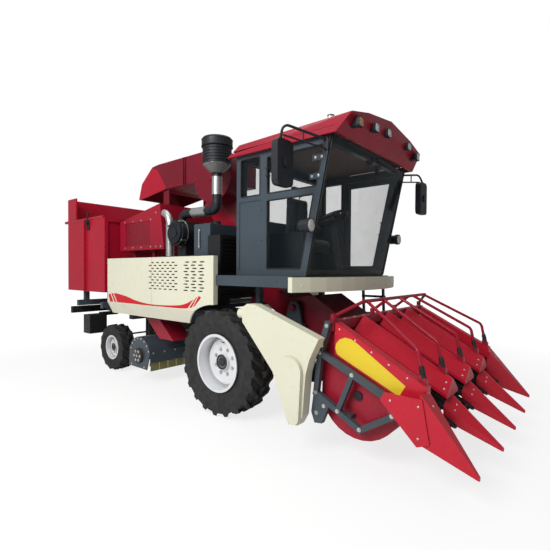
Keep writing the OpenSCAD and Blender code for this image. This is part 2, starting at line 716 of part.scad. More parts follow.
module side_cover() {
  color("#e6e1c8") difference() {
    union() {
      translate([0, 20 - cover_y, 0]) rotate([90, 0, 0]) linear_extrude(height = 20) difference() {
        translate([-2520, cover_fold]) square([2520, cover_top - cover_fold]);
        cover_slots();
      }
      cross_plate([[-cover_y, cover_fold + 5], [-cover_y + 20, cover_fold + 5], [-cover_y + 20, cover_fold],
        [-cover_y + 110, 1070], [-cover_y + 90, 1070], [-cover_y, cover_fold]], -2520, 0);
      block([-2520, 0], [-cover_y, -cover_y + 60], [cover_top - 20, cover_top]);
      block([-20, 0], [-cover_y, -cover_y + 70], [cover_fold, cover_top]);
      block([-2520, -2500], [-cover_y, -cover_y + 70], [cover_fold, cover_top]);
      for (x = [-760, -1350, -1900, -2450])
        block([x - 35, x + 35], [-cover_y, -1050], [out_top + seat, out_top + 50]);
    }
    pin_y(0, front_r, -1300, -900, front_r + 65);
    block([-1286, -1280], [-cover_y - 10, 4 - cover_y], [1000, 2000]);
  }
}

module side_cover_right() {
  side_cover();
}

module side_cover_left() {
  mirror([0, 1, 0]) side_cover();
}

module elevator() {
  a = [370, 1220];
  b = [0, 1460];
  c = [-1250, 2900];
  d1 = unit(b - a);
  d2 = unit(c - b);
  n1 = [d1[1], -d1[0]] * 150;
  n2 = [d2[1], -d2[0]] * 150;
  color("#b0161f") {
    side_plate([a + n1, b + (n1 + n2) / 2, c + n2, c - n2, b - (n1 + n2) / 2, a - n1], -180, 380);
    both() block([-180, -120], [rail_in - 80, rail_in - 50], [rail_top - 20 + seat, 1500]);
    block([-180, -120], [-rail_in + 50, rail_in - 50], [1440, 1500]);
  }
}

module discharge_duct() {
  color("#b0161f") {
    pin_y(-800, 3130, -500, -190, 380);
    pin_y(-800, 3130, -512, -488, 396);
    pin_y(-800, 3130, -545, -505, 70);
    difference() {
      side_plate([[-800, 3510], [-2160, 3510], [-2340, 3490], [-2650, 3250], [-2740, 2990], [-2690, 2975],
        [-1930, 3080], [-800, 3080]], -500, 420);
      side_plate([[-1500, 3490], [-2160, 3490], [-2330, 3471], [-2634, 3236], [-2721, 2985], [-2721, 2900],
        [-1930, 3100], [-1500, 3100]], -480, 400);
    }
    for (y = [-470, 370])
      side_plate([[-2050, husk_z(-2050) + seat], [-1900, husk_z(-1900) + seat], [-1900, 3090], [-2050, 3090]],
        y, y + 20);
  }
}

module husker() {
  chute_y = [-880, -560];
  color("#b0161f") {
    difference() {
      side_plate([[husk_x[0], husk_floor], [husk_x[0], husk_low], [husk_x[1], husk_high], [-1420, husk_floor]],
        -900, 900);
      both() block([-2480, -1780], [-910, -888], [husk_floor + 70, husk_low - 40]);
    }
    for (x = [-1900, -2450])
      both() block([x - 30, x + 30], [700, 760], [out_top + seat, husk_floor + 10]);
    difference() {
      side_plate([[-1900, 1010], [-1550, 1010], [-1210, 730], [-1560, 730]], chute_y[0], chute_y[1]);
      side_plate([[-1870, 1020], [-1570, 1020], [-1190, 700], [-1570, 700]], chute_y[0] + 20, chute_y[1] - 20);
    }
    block([-1880, -1820], [-800, -740], [990, out_z - seat]);
  }
}

module rear_bumper() {
  x1 = rail_rear - seat;
  color("#1d1f21") difference() {
    union() {
      block([x1 - 70, x1], [-1120, 1120], [rail_z, rail_z + 120]);
      block([cyl_x[1] + 44, x1 - 60], [tip_b[0] - 45, tip_b[0] + 45], [tip_b[1] - 45, rail_z + 120]);
      pin_x(tip_b[0], tip_b[1], cyl_x[1] - 25, cyl_x[1] + 60, 22 - run);
      for (z = [rail_z + 10, rail_z + 85])
        block([x1 - 190, x1 - 60], [-50, 50], [z, z + 25]);
    }
    translate([x1 - 145, 0, rail_z - 20]) cylinder(h = 160, r = 16, $fn = 48);
  }
}

module battery_box() {
  color("#202326") {
    block([-3860, -3610], [-960, -640], [590, 930]);
    block([-3800, -3660], [-700, -rail_in], [rail_z - 60, rail_z - seat]);
  }
}

module fuel_tank() {
  color("#202326") {
    block([-3860, -3610], [600, 980], [590, 930]);
    block([-3800, -3660], [rail_in, 700], [rail_z - 60, rail_z - seat]);
    translate([-3735, 860, 920]) cylinder(h = 60, r = 45, $fn = 32);
  }
}

module feeder_house() {
  w = rail_in - 45;
  color("#a8141d") {
    difference() {
      side_plate([[pivot_x - 130, pivot_z + 110], [pivot_x + 230, pivot_z + 160], [1480, 1080], [1480, 440],
        [1360, 430], [pivot_x - 110, pivot_z - 200]], -w, w);
      side_plate([[pivot_x - 200, pivot_z + 80], [pivot_x + 220, pivot_z + 130], [1500, 1045], [1500, 470],
        [1366, 460], [pivot_x - 150, pivot_z - 160]], -w + 25, w - 25);
    }
    both() {
      pin_y(pivot_x, pivot_z, w - 10, rail_out, 40 - run);
      pin_y(lift_p[0], lift_p[1], w - 10, lift_y - 26, 34);
    }
  }
}

module header_trough() {
  c = [auger_x, auger_z];
  half = head_half - 100;
  color("#b0161f") difference() {
    union() {
      side_plate(band(c, 400, 388, 190, 338, 18), -half, half);
      side_plate([[1480 + seat, auger_z - 90], [1492, auger_z - 90], [1512, 1210], [1580, 1210], [1580, 1222],
        [1500, 1222]], -half, half);
      side_plate(concat([[1492, 1200], [1492, auger_z - 70]], arc_pts(c, 400, 190, 338, 12),
        [[2262, 640], [2100, 810], [1640, 1140], [1600, 1200]]), half - 2, half + 12);
      side_plate(concat([[1492, 1200], [1492, auger_z - 70]], arc_pts(c, 400, 190, 338, 12),
        [[2262, 640], [2100, 810], [1640, 1140], [1600, 1200]]), -half - 12, -half + 2);
      block([1570, 1650], [-head_half + 25, head_half - 25], [1200, 1290]);
      side_plate([[2245, 470], [2262, 470], [2262, 640], [2245, 640]], -half, half);
    }
    block([1400, 1560], [-rail_in + 75, rail_in - 75], [470, 1040]);
    both() pin_y(auger_x, auger_z, half - 40, half + 40, 40);
  }
}

module strip(p, q, w) {
  d = q - p;
  translate(p) rotate(atan2(d[1], d[0])) translate([-w / 2, -w / 2]) square([norm(d) + w, w]);
}

module header_side_frames() {
  y = head_half;
  color("#565f66") both() {
    translate([0, y + 25, 0]) rotate([90, 0, 0]) linear_extrude(height = 50) union() {
      strip([1530, 990], [1605, 1262], 56);
      strip([1530, 990], [2195, 695], 56);
      strip([1530, 990], [1485, 605], 50);
      strip([1485, 605], [1945, 365], 50);
      strip([1945, 365], [2245, 555], 50);
      strip([2245, 555], [2195, 695], 50);
      strip([1870, 839], [1722, 481], 44);
      polygon([[1470, 630], [1520, 590], [1640, 525], [1560, 330], [1478, 320], [1440, 420]]);
    }
    block([1800, 1850], [y - 88 + seat, y], [425, 465]);
  }
}

module row_dividers() {
  tip_o = tip_x - 40;
  color("#c01a22") {
    for (y = [-row_pitch, 0, row_pitch]) {
      hull() {
        translate([hood_rear, y - 8, hood_top_rear - 60]) cube([2, 16, 60]);
        translate([hood_rear, y - 205, hood_top_rear - 160]) cube([2, 410, 30]);
        translate([hood_front - 2, y - 8, hood_top_front - 60]) cube([2, 16, 60]);
        translate([hood_front - 2, y - 165, hood_top_front - 150]) cube([2, 330, 30]);
      }
      hull() {
        translate([hood_front - 30, y - 10, hood_top_front - 180]) cube([2, 20, 60]);
        translate([hood_front - 30, y - 170, hood_top_front - 330]) cube([2, 340, 110]);
        translate([tip_x - 12, y - 12, tip_z]) cube([12, 24, 24]);
      }
    }
    both() {
      side_plate([[1650 + seat, 1279], [2500, 830], [2500, 560], [2190, 730], [1650 + seat, 980]],
        head_half - 60, head_half - 45);
      hull() {
        translate([hood_rear, head_half - 140, 1150]) cube([2, 90, 130]);
        translate([2498, head_half - 140, 690]) cube([2, 90, 140]);
      }
      hull() {
        translate([2480, head_half - 130, 400]) cube([2, 180, 400]);
        translate([tip_o - 12, 2 * row_pitch + 45, tip_z]) cube([12, 24, 24]);
      }
      side_plate([[2190, 760], [2150, 690], [2460, 380], [2560, 420], [2500, 760]],
        head_half + 54, head_half + 62);
      block([2300, 2490], [head_half - 60, head_half + 56], [600, 640]);
    }
  }
}

module fluted_roll(p, q, r) {
  d = q - p;
  rotate_to = [0, acos(d[2] / norm(d)), atan2(d[1], d[0])];
  flute = [[0, 0.78], [18, 0.78], [22, 1], [38, 1]];
  flutes = [for (i = [0 : 5]) for (k = flute) on_ring(k[1] * r, 60 * i + k[0] - 30)];
  translate(p) rotate(rotate_to) {
    linear_extrude(height = norm(d)) polygon(flutes);
    translate([0, 0, norm(d) - 2]) cylinder(h = 70, r1 = 0.7 * r, r2 = 9, $fn = 32);
  }
}

module chain_loop(len, half, t, fingers) {
  end = 4;
  linear_extrude(height = 18) {
    difference() {
      polygon(concat(arc_pts([len, 0], half, -90, 90, end), arc_pts([0, 0], half, 90, 270, end)));
      polygon(concat(arc_pts([len, 0], half - t, -90, 90, end), arc_pts([0, 0], half - t, 90, 270, end)));
    }
    for (i = [1 : fingers])
      translate([len * i / (fingers + 0.4), 1 - half])
        polygon([[-16, 0], [-6, -38], [6, -38], [16, 0]]);
  }
}

module row_units() {
  half = head_half - 100;
  chain_a = [2320, 600];
  chain_b = [2600, 448];
  run_v = chain_b - chain_a;
  color("#2a2d30") {
    block([2262 + seat, 2330], [-half, half], [500, 580]);
    for (k = [-1.5, -0.5, 0.5, 1.5]) translate([0, k * row_pitch, 0]) {
      block([2265, 2345], [-130, 130], [430, 700]);
      for (s = [-1, 1]) {
        fluted_roll([2335, s * 55, 495], [2600, s * 55, 352], 46);
        bar([2300, s * 190, 590], [2462, s * 190, 507], 60, 40);
        mirror([0, s < 0 ? 1 : 0, 0]) {
          bar([2330, 70, 566], [2585, 70, 428], 8, 104);
          translate([chain_a[0], 85, chain_a[1]]) rotate([0, -atan2(run_v[1], run_v[0]), 0]) {
            chain_loop(norm(run_v), 33, 11, 3);
            translate([0, -9, 2]) cube([norm(run_v), 18, 14]);
          }
        }
      }
    }
    for (y = [-row_pitch, 0, row_pitch])
      side_plate([[2290, 570], [2328, 570], [2328, hood_low(2328) - seat], [2290, hood_low(2290) - seat]],
        y - 60, y + 60);
  }
}

module tube_bend(p, c, q, r, bend) {
  d1 = unit(c - p);
  d2 = unit(q - c);
  ez = unit(cross(d1, d2));
  ey = cross(ez, d1);
  turn = acos(d1 * d2);
  translate(c - d1 * bend * tan(turn / 2) + ey * bend)
    multmatrix([[d1[0], ey[0], ez[0], 0], [d1[1], ey[1], ez[1], 0], [d1[2], ey[2], ez[2], 0], [0, 0, 0, 1]])
      rotate([0, 0, -90]) rotate_extrude(angle = turn, $fn = 48) translate([bend, 0]) circle(r = r, $fn = 32);
}

module bent_tube(p, c, q, r, bend) {
  cut = bend_cut(p, c, q, bend) - 4;
  rod(p, c - unit(c - p) * cut, r);
  tube_bend(p, c, q, r - 0.6, bend);
  rod(c + unit(q - c) * cut, q, r);
}

module hoop(y, top_y, lift) {
  fx = 2452;
  bent_tube([guard_x, top_y, guard_z], [2405, y, 1110], [fx, y, ridge_z(fx) + lift + 24], 16, 70);
  side_plate([[fx - 32, ridge_z(fx - 32) + lift], [fx + 32, ridge_z(fx + 32) + lift],
    [fx + 32, ridge_z(fx + 32) + lift + 46], [fx - 32, ridge_z(fx - 32) + lift + 46]], y - 22, y + 22);
}

module crop_guard() {
  end = [guard_x, 860, guard_z];
  foot = [1612, 1120, 1325];
  cut = bend_cut([guard_x, 0, guard_z], end, foot, 80) - 4;
  outer = 2 * row_pitch - 85;
  color("#b0161f") {
    rod([guard_x, -860 + cut, guard_z], [guard_x, 860 - cut, guard_z], 18);
    for (y = [-row_pitch, 0, row_pitch]) hoop(y, 0.72 * y, 0.6);
    both() {
      hoop(outer, 0.72 * outer, edge_z(2484) - ridge_z(2484) + 0.6);
      tube_bend([guard_x, 0, guard_z], end, foot, 17.4, 80);
      rod(end + unit(foot - end) * cut, foot, 17);
      translate([foot[0], foot[1], 1290 + seat]) cylinder(h = 60, r = 26, $fn = 32);
      rod([guard_x, 300, guard_z], [foot[0], 300, foot[2]], 16);
      translate([foot[0], 300, 1290 + seat]) cylinder(h = 60, r = 26, $fn = 32);
    }
  }
}

module drive_cover() {
  y0 = -head_half - 150;
  y1 = -head_half - 40;
  color("#e6e1c8") {
    side_plate([[640, 1370], [710, 1410], [810, 1410], [1600, 1140], [1500, 940], [1460, 800], [1425, 400],
      [1370, 300], [1300, 290], [1240, 330], [1060, 760], [640, 1215]], y0, y1);
    side_plate(concat(arc_pts([1290, 800], 140, 0, 180, 12), arc_pts([1332, 380], 75, 180, 360, 8)),
      y0 - 40, y0 + 1);
    rod([560, (y0 + y1) / 2, 1300], [660, (y0 + y1) / 2, 1300], 52);
    block([1500, 1570], [y1 - 5, -head_half - 25 - seat], [1050, 1120]);
  }
}

module flight(r0, r1, pitch, turns, t, n) {
  m = n * turns;
  pts = [for (i = [0 : m]) for (p = [[r0, 0], [r1, 0], [r1, t], [r0, t]])
    [p[0] * cos(360 * i / n), p[0] * sin(360 * i / n), pitch * i / n + p[1]]];
  sides = [for (i = [0 : m - 1]) for (k = [0 : 3]) for (half = [0, 1])
    let (a = 4 * i + k, b = 4 * i + (k + 1) % 4)
      half == 0 ? [a, b, b + 4] : [a, b + 4, a + 4]];
  polyhedron(points = pts, faces = concat([[3, 2, 1, 0]], sides, [[4 * m, 4 * m + 1, 4 * m + 2, 4 * m + 3]]));
}

module header_auger() {
  half = head_half - 100;
  color("#3a4046") {
    pin_y(auger_x, auger_z, -half - 30, half + 30, 40 - run);
    pin_y(auger_x, auger_z, -half + 30, half - 30, 90);
    both() translate([auger_x, half - 40, auger_z]) rotate([90, 0, 0])
      flight((90 + seat) / cos(180 / 20), auger_r, 400, 1.8, 12, 20);
    for (a = [20, 200]) translate([auger_x, 0, auger_z]) rotate([0, a, 0])
      block([80, auger_r - 20], [-250, 250], [-6, 6]);
  }
}

module cyl_barrel(len, r, eye_w) {
  difference() {
    union() {
      translate([0, 0, 25]) cylinder(h = len - 25, r = r, $fn = 48);
      rotate([90, 0, 0]) translate([0, 0, -eye_w / 2]) cylinder(h = eye_w, r = 42, $fn = 48);
    }
    translate([0, 0, 60]) cylinder(h = len, r = 0.55 * r, $fn = 48);
    rotate([90, 0, 0]) translate([0, 0, -eye_w]) cylinder(h = 2 * eye_w, r = 22, $fn = 48);
  }
}

module cyl_rod(start, end, r, eye_w) {
  difference() {
    union() {
      translate([0, 0, start]) cylinder(h = end - start, r = r, $fn = 48);
      translate([0, 0, end]) rotate([90, 0, 0]) translate([0, 0, -eye_w / 2])
        cylinder(h = eye_w, r = 40, $fn = 48);
    }
    translate([0, 0, end]) rotate([90, 0, 0]) translate([0, 0, -eye_w])
      cylinder(h = 2 * eye_w, r = 22, $fn = 48);
  }
}

module along_lift() {
  d = lift_p - lift_b;
  both() translate([lift_b[0], lift_y, lift_b[1]]) rotate([0, 90 - atan2(d[1], d[0]), 0]) children();
}

module lift_barrels() {
  color("#2a2e33") along_lift() cyl_barrel(720, 44, 40);
}

module lift_rods() {
  color("#c9ccd0") along_lift() cyl_rod(200, norm(lift_p - lift_b), 0.55 * 44 - run, 40);
}

module along_tip() {
  d = tip_p - tip_b;
  for (x = cyl_x)
    translate([x, tip_b[0], tip_b[1]]) rotate([-90 + atan2(d[1], d[0]), 0, 0]) rotate([0, 0, 90]) children();
}

module tip_barrels() {
  color("#2a2e33") along_tip() cyl_barrel(1000, 38, 36);
}

module tip_rods() {
  color("#c9ccd0") along_tip() cyl_rod(330, norm(tip_p - tip_b), 0.55 * 38 - run, 36);
}

module ear_bin() {
  x0 = -bin_rear;
  x1 = -bin_front;
  w = bin_half_w;
  t = 25;
  color("#c01a22") {
    difference() {
      block([x0, x1], [-w, w], [bin_z, bin_top]);
      block([x0 + t, x1 - t], [-w + t, w - t], [bin_z + 60, bin_top + 10]);
    }
    block([x0, x0 + t], [-w, w], [bin_top - 5, bin_top + 430]);
    both() block([x0, x0 + 330], [w - t, w], [bin_top - 5, bin_top + 430]);
    rod([x0 - rim_tube_over, -w + 10, bin_top + 14], [x1, -w + 10, bin_top + 14], 26);
    block([x0 + 640, x0 + 720], [-w - 40, -w + 5], [bin_z + 10, bin_top]);
    for (y = [-w, -520, 60]) block([x1 - 5, x1 + 28], [y, y + 60], [bin_z + 10, bin_top]);
    block([x1 - 5, x1 + 28], [-w, 120], [bin_top - 60, bin_top]);
    for (x = pillar_x) {
      for (s = [-1, 1])
        cross_plate([[w - 5, hinge_z - 110], [w - 5, hinge_z + 110], [hinge_y + 20, hinge_z + 35],
          [hinge_y + 40, hinge_z], [hinge_y + 20, hinge_z - 35]], x + s * 56 - 11, x + s * 56 + 11);
      pin_x(hinge_y, hinge_z, x - 66, x + 66, 25 - run);
    }
    pin_x(tip_p[0], tip_p[1], cyl_x[1] + 24, x0 + 10, 34);
    pin_x(tip_p[0], tip_p[1], x1 - 10, cyl_x[0] - 24, 34);
  }
}

module chopper_hood() {
  c = [-rotor_x, rotor_z];
  color("#4a545b") {
    difference() {
      union() {
        side_plate(band(c, 290, 280, 15, 172, 16), -chop_half_w, chop_half_w);
        both() side_plate(concat(arc_pts(c, 290, 12, 178, 14), [[-rotor_x - 300, 240], [-rotor_x + 200, 230]]),
          chop_half_w - 2, chop_half_w + 12);
        pin_y(-rotor_x, rotor_z, chop_half_w + 5, chop_half_w + 26, 78);
      }
      both() pin_y(-rotor_x, rotor_z, chop_half_w - 30, chop_half_w + 50, 40);
    }
    block([-rotor_x + 248, -rotor_x + 262 - seat], [-chop_half_w, chop_half_w], [rotor_z + 35, rotor_z + 132]);
    block([-rotor_x + 270 + seat, -rotor_x + 280], [-chop_half_w, chop_half_w], [rotor_z - 90, rotor_z + 92]);
    both() {
      bar([chop_pivot[0] - 20, rail_y - 60, chop_pivot[1]], [-rotor_x + 150, rail_y - 60, rotor_z + 260],
        70, 40);
      pin_y(chop_pivot[0], chop_pivot[1], rail_y - 80, rail_y + 30, 25 - run);
      pin_y(chop_pivot[0], chop_pivot[1], rail_y - 80, rail_y - 40, 50);
    }
  }
}

module chopper_curtain() {
  x = -rotor_x + 277;
  n = 12;
  p = 2 * (chop_half_w - 10) / n;
  color("#b9a66a") {
    for (i = [0 : n - 1])
      translate([x - 15, -chop_half_w + 10 + p * i + 4, 215]) cube([8, p - 8, 280]);
  }
}

module chopper_rotor() {
  n = 14;
  step = 2 * (chop_half_w - 90) / (n - 1);
  color("#2a2e33") {
    pin_y(-rotor_x, rotor_z, -chop_half_w - 60, chop_half_w + 30, 40 - run);
    pin_y(-rotor_x, rotor_z, -chop_half_w + 30, chop_half_w - 30, 85);
    pin_y(-rotor_x, rotor_z, -chop_half_w - 55, -chop_half_w - 20, 110);
    for (i = [0 : n - 1]) translate([-rotor_x, -chop_half_w + 90 + step * i, rotor_z])
      for (a = [0, 180]) rotate([0, a + 90 * (i % 2) + 15, 0]) block([78, knife_r], [-6, 6], [-24, 24]);
  }
}

place() frame();
place() front_axle();
place() rear_axle();
place() deck();
place() front_sill();
place() cab_frame();
place() cab_roof();
place() cab_glass();
place() cab_door();
place() door_glass();
place() driver_seat();
place() control_console();
place() mirrors();
place() work_lamps();
place() engine();
place() radiator();
place() oil_tank();
place() air_intake();
place() exhaust();
place() side_cover_right();
place() side_cover_left();
place() elevator();
place() discharge_duct();
place() husker();
place() rear_bumper();
place() battery_box();
place() fuel_tank();
place() knuckle_right();
place() knuckle_left();
place() tie_rod();
place() front_tyre_right();
place() front_tyre_left();
place() front_rim_right();
place() front_rim_left();
place() rear_tyre_right();
place() rear_tyre_left();
place() rear_rim_right();
place() rear_rim_left();
place() feeder_house();
place() header_trough();
place() header_side_frames();
place() row_dividers();
place() row_units();
place() crop_guard();
place() drive_cover();
place() header_auger();
place() lift_barrels();
place() lift_rods();
place() ear_bin();
place() tip_barrels();
place() tip_rods();
place() chopper_hood();
place() chopper_curtain();
place() chopper_rotor();
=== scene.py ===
"""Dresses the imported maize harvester: finishes, small fittings, seat, camera and studio.

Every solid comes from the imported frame; this script paints it and adds what is too small or
too soft for the frame. All sizes are metres, with +X forward, +Y left and +Z up. The sub-assemblies
measure their places from the ground under the front axle, and at() turns those into the frame's axes.
"""

from __future__ import annotations

import json
import logging
import math
from collections.abc import Sequence
from dataclasses import dataclass, field
from enum import Enum

import bmesh
import bpy
from mathutils import Matrix, Vector
from mathutils.bvhtree import BVHTree


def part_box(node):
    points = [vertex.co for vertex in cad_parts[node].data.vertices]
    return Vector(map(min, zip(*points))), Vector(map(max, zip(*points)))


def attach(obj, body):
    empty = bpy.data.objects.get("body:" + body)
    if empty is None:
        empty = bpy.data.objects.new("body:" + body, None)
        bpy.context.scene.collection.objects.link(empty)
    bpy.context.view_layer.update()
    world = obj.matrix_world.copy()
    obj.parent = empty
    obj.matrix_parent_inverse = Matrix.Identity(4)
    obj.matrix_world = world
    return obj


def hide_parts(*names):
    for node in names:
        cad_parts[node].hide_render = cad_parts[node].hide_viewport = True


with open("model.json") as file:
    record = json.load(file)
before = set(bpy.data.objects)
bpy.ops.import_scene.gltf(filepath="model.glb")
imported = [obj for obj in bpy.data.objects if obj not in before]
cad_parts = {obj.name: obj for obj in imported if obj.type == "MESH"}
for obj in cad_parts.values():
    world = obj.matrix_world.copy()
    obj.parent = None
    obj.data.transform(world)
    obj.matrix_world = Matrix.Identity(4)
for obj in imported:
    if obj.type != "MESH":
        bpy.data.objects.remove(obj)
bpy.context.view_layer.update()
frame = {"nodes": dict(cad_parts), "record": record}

LOG = logging.getLogger("harvester")

Colour = tuple[float, float, float]
Point = tuple[float, float, float]
Point2 = tuple[float, float]
Spot = tuple[Vector, Vector]
Profile = tuple[Point2, ...]
Row = tuple[float, ...]
Socket = bpy.types.NodeSocket

# A Mix node in colour mode has these sockets for its two colours and its result.
MIX_FIRST, MIX_SECOND, MIX_RESULT = 6, 7, 2
CORNER_SAMPLES = 4


class Carrier(str, Enum):
    """The moving bodies that dressed pieces ride on."""

    CHASSIS = "chassis"
    HEADER = "header"
    BIN = "bin"
    DOOR = "door"
    CHOPPER = "chopper"
    ROTOR = "rotor"
    FRONT_RIGHT = "front_wheel_right"
    FRONT_LEFT = "front_wheel_left"
    REAR_RIGHT = "rear_wheel_right"
    REAR_LEFT = "rear_wheel_left"


class Head(Enum):
    """Shapes of a small fitting that repeats."""

    HEX = "hex"
    DOME = "dome"
    # Flat discs, laid black as painted shade inside holes.
    HOLE_SHADE = "hole"


def middle(node: str) -> Vector:
    """Finds the middle of a node's box.

    Args:
        node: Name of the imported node.

    Returns:
        The middle point in metres.
    """
    low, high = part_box(node)
    return (Vector(low) + Vector(high)) / 2


AXLE = middle("front_rim_right")


def at(x: float, y: float, z: float) -> Vector:
    """Turns a place measured from the front axle's line on the ground into the frame's axes.

    Args:
        x: Metres ahead of the front axle.
        y: Metres to the left of the middle.
        z: Metres above the ground.

    Returns:
        The point in the frame's axes.
    """
    return Vector((AXLE.x + x, y, z))


class NodeBench:
    """A material under construction, with short calls for the nodes that the finishes share."""

    def __init__(self, name: str) -> None:
        """Starts a material with one Principled shader.

        Args:
            name: Name of the material.
        """
        self.material = bpy.data.materials.new(name)
        self.material.use_nodes = True
        self.nodes = self.material.node_tree.nodes
        self.links = self.material.node_tree.links
        self.shader = self.nodes["Principled BSDF"]
        self.coords = self.nodes.new("ShaderNodeTexCoord")

    def set(self, **values: object) -> None:
        """Sets shader sockets that are the same all over the surface."""
        for name, value in values.items():
            self.shader.inputs[name.replace("_", " ").title().replace("Ior", "IOR")].default_value = value

    def noise(self, scale: float, detail: float = 4.0, rough: float = 0.55) -> Socket:
        """Adds a noise pattern on Object coordinates.

        Args:
            scale: Pattern frequency per metre.
            detail: Octaves.
            rough: Weight of the finer octaves.

        Returns:
            The factor output.
        """
        node = self.nodes.new("ShaderNodeTexNoise")
        node.inputs["Scale"].default_value = scale
        node.inputs["Detail"].default_value = detail
        node.inputs["Roughness"].default_value = rough
        self.links.new(self.coords.outputs["Object"], node.inputs["Vector"])
        return node.outputs[0]

    def span(self, source: Socket, low: float, high: float, to_low: float, to_high: float) -> Socket:
        """Maps a value from one range to another, clamped.

        Args:
            source: Value to map.
            low: Start of its range.
            high: End of its range.
            to_low: Result at the start.
            to_high: Result at the end.

        Returns:
            The mapped value.
        """
        node = self.nodes.new("ShaderNodeMapRange")
        for socket, value in zip(node.inputs[1:5], (low, high, to_low, to_high)):
            socket.default_value = value
        self.links.new(source, node.inputs[0])
        return node.outputs[0]

    def share(self, source: Socket, low: float, high: float) -> Socket:
        """Returns a stretch of a value mapped to 0 to 1."""
        return self.span(source, low, high, 0.0, 1.0)

    def math(self, kind: str, a: Socket, b: Socket | float) -> Socket:
        """Adds one Math node.

        Args:
            kind: Blender's name of the operation.
            a: First value.
            b: Second value, a socket or a number.

        Returns:
            The result.
        """
        node = self.nodes.new("ShaderNodeMath")
        node.operation = kind
        self.links.new(a, node.inputs[0])
        if isinstance(b, (int, float)):
            node.inputs[1].default_value = b
        else:
            self.links.new(b, node.inputs[1])
        return node.outputs[0]

    def mix(self, factor: Socket, a: Socket | Colour, b: Colour) -> Socket:
        """Mixes two colours.

        Args:
            factor: Share of the second colour.
            a: First colour, a socket or a value.
            b: Second colour.

        Returns:
            The mixed colour.
        """
        node = self.nodes.new("ShaderNodeMix")
        node.data_type = "RGBA"
        self.links.new(factor, node.inputs[0])
        if isinstance(a, tuple):
            node.inputs[MIX_FIRST].default_value = (*a, 1.0)
        else:
            self.links.new(a, node.inputs[MIX_FIRST])
        node.inputs[MIX_SECOND].default_value = (*b, 1.0)
        return node.outputs[MIX_RESULT]

    def axes(self) -> tuple[Socket, ...]:
        """Returns the Object X, Y and Z of the surface point."""
        node = self.nodes.new("ShaderNodeSeparateXYZ")
        self.links.new(self.coords.outputs["Object"], node.inputs[0])
        return tuple(node.outputs)

    def height(self) -> Socket:
        """Returns the Object Z of the surface point."""
        return self.axes()[2]

    def cells(self, scale: float) -> Socket:
        """Returns the distance pattern of a cell texture on Object coordinates."""
        node = self.nodes.new("ShaderNodeTexVoronoi")
        node.inputs["Scale"].default_value = scale
        self.links.new(self.coords.outputs["Object"], node.inputs["Vector"])
        return node.outputs[0]

    def corners(self, reach: float) -> Socket:
        """Finds corners by ambient occlusion, for painted shade.

        Args:
            reach: How far from the corner the painted shade spreads.

        Returns:
            0 in the open, 1 deep in a corner.
        """
        node = self.nodes.new("ShaderNodeAmbientOcclusion")
        node.samples = CORNER_SAMPLES
        node.inputs["Distance"].default_value = reach
        return self.share(node.outputs["AO"], 0.75, 0.25)

    def bump(self, height: Socket, strength: float, depth: float,
             under: Socket | None = None) -> Socket:
        """Adds a bump layer.

        Args:
            height: Height pattern.
            strength: Share of the layer.
            depth: Height of the pattern in metres.
            under: Normal of the layer beneath.

        Returns:
            The bumped normal.
        """
        node = self.nodes.new("ShaderNodeBump")
        node.inputs["Strength"].default_value = strength
        node.inputs["Distance"].default_value = depth
        self.links.new(height, node.inputs["Height"])
        if under is not None:
            self.links.new(under, node.inputs["Normal"])
        return node.outputs[0]

    def feed(self, name: str, source: Socket) -> None:
        """Links a value to a shader socket."""
        self.links.new(source, self.shader.inputs[name])


DUST: Colour = (0.30, 0.25, 0.19)
# Near black, laid into corners found by ambient occlusion: painted shade.
PAINTED_SHADE_TONE: Colour = (0.035, 0.030, 0.028)


@dataclass(frozen=True)
class Paint:
    """A sprayed coat on sheet steel, with faint waves, a little dust low down and painted shade in corners.

    In all finishes the scales of patterns are per metre, and depths and reaches are in metres.
    """

    name: str
    colour: Colour
    shade: Colour
    roughness: float = 0.30
    coat: float = 0.14
    dust: float = 0.05
    # Strength of the painted shade in corners.
    dust_top: float = 1.5
    grime: float = 0.45
    metallic: float = 0.0
    coat_roughness: float = 0.12
    specular: float = 0.26
    mottle: float = 1.7
    speckle: float = 26.0
    dust_foot: float = 0.15
    # Reach of the painted shade in corners.
    corner_shade_reach: float = 0.09
    cloud: float = 7.0
    wave: float = 2.2
    wave_depth: float = 0.004

    def material(self) -> bpy.types.Material:
        """Builds the node material.

        Returns:
            The material.
        """
        bench = NodeBench(self.name)
        bench.set(metallic=self.metallic, coat_weight=self.coat, coat_roughness=self.coat_roughness,
                  specular_ior_level=self.specular)
        mottled = bench.share(bench.noise(self.mottle, detail=5.0), 0.35, 0.75)
        tone = bench.mix(mottled, self.colour, self.shade)
        speckle = bench.noise(self.speckle, detail=6.0, rough=0.7)
        low = bench.span(bench.height(), self.dust_foot, self.dust_top, 1.0, 0.12)
        patches = bench.math("MULTIPLY", low, bench.span(speckle, 0.42, 0.75, 0.15, 1.0))
        tone = bench.mix(bench.math("MULTIPLY", patches, self.dust), tone, DUST)
        # Painted shade: corners found by ambient occlusion darken towards near black.
        tone = bench.mix(bench.math("MULTIPLY", bench.corners(self.corner_shade_reach), self.grime), tone, PAINTED_SHADE_TONE)
        bench.feed("Base Color", tone)
        cloud = bench.noise(self.cloud, detail=6.0)
        cloudy = bench.span(cloud, 0.3, 0.75, self.roughness - 0.07, self.roughness + 0.14)
        bench.feed("Roughness", cloudy)
        waves = bench.noise(self.wave, detail=1.0)
        bench.feed("Normal", bench.bump(waves, strength=0.22, depth=self.wave_depth))
        return bench.material


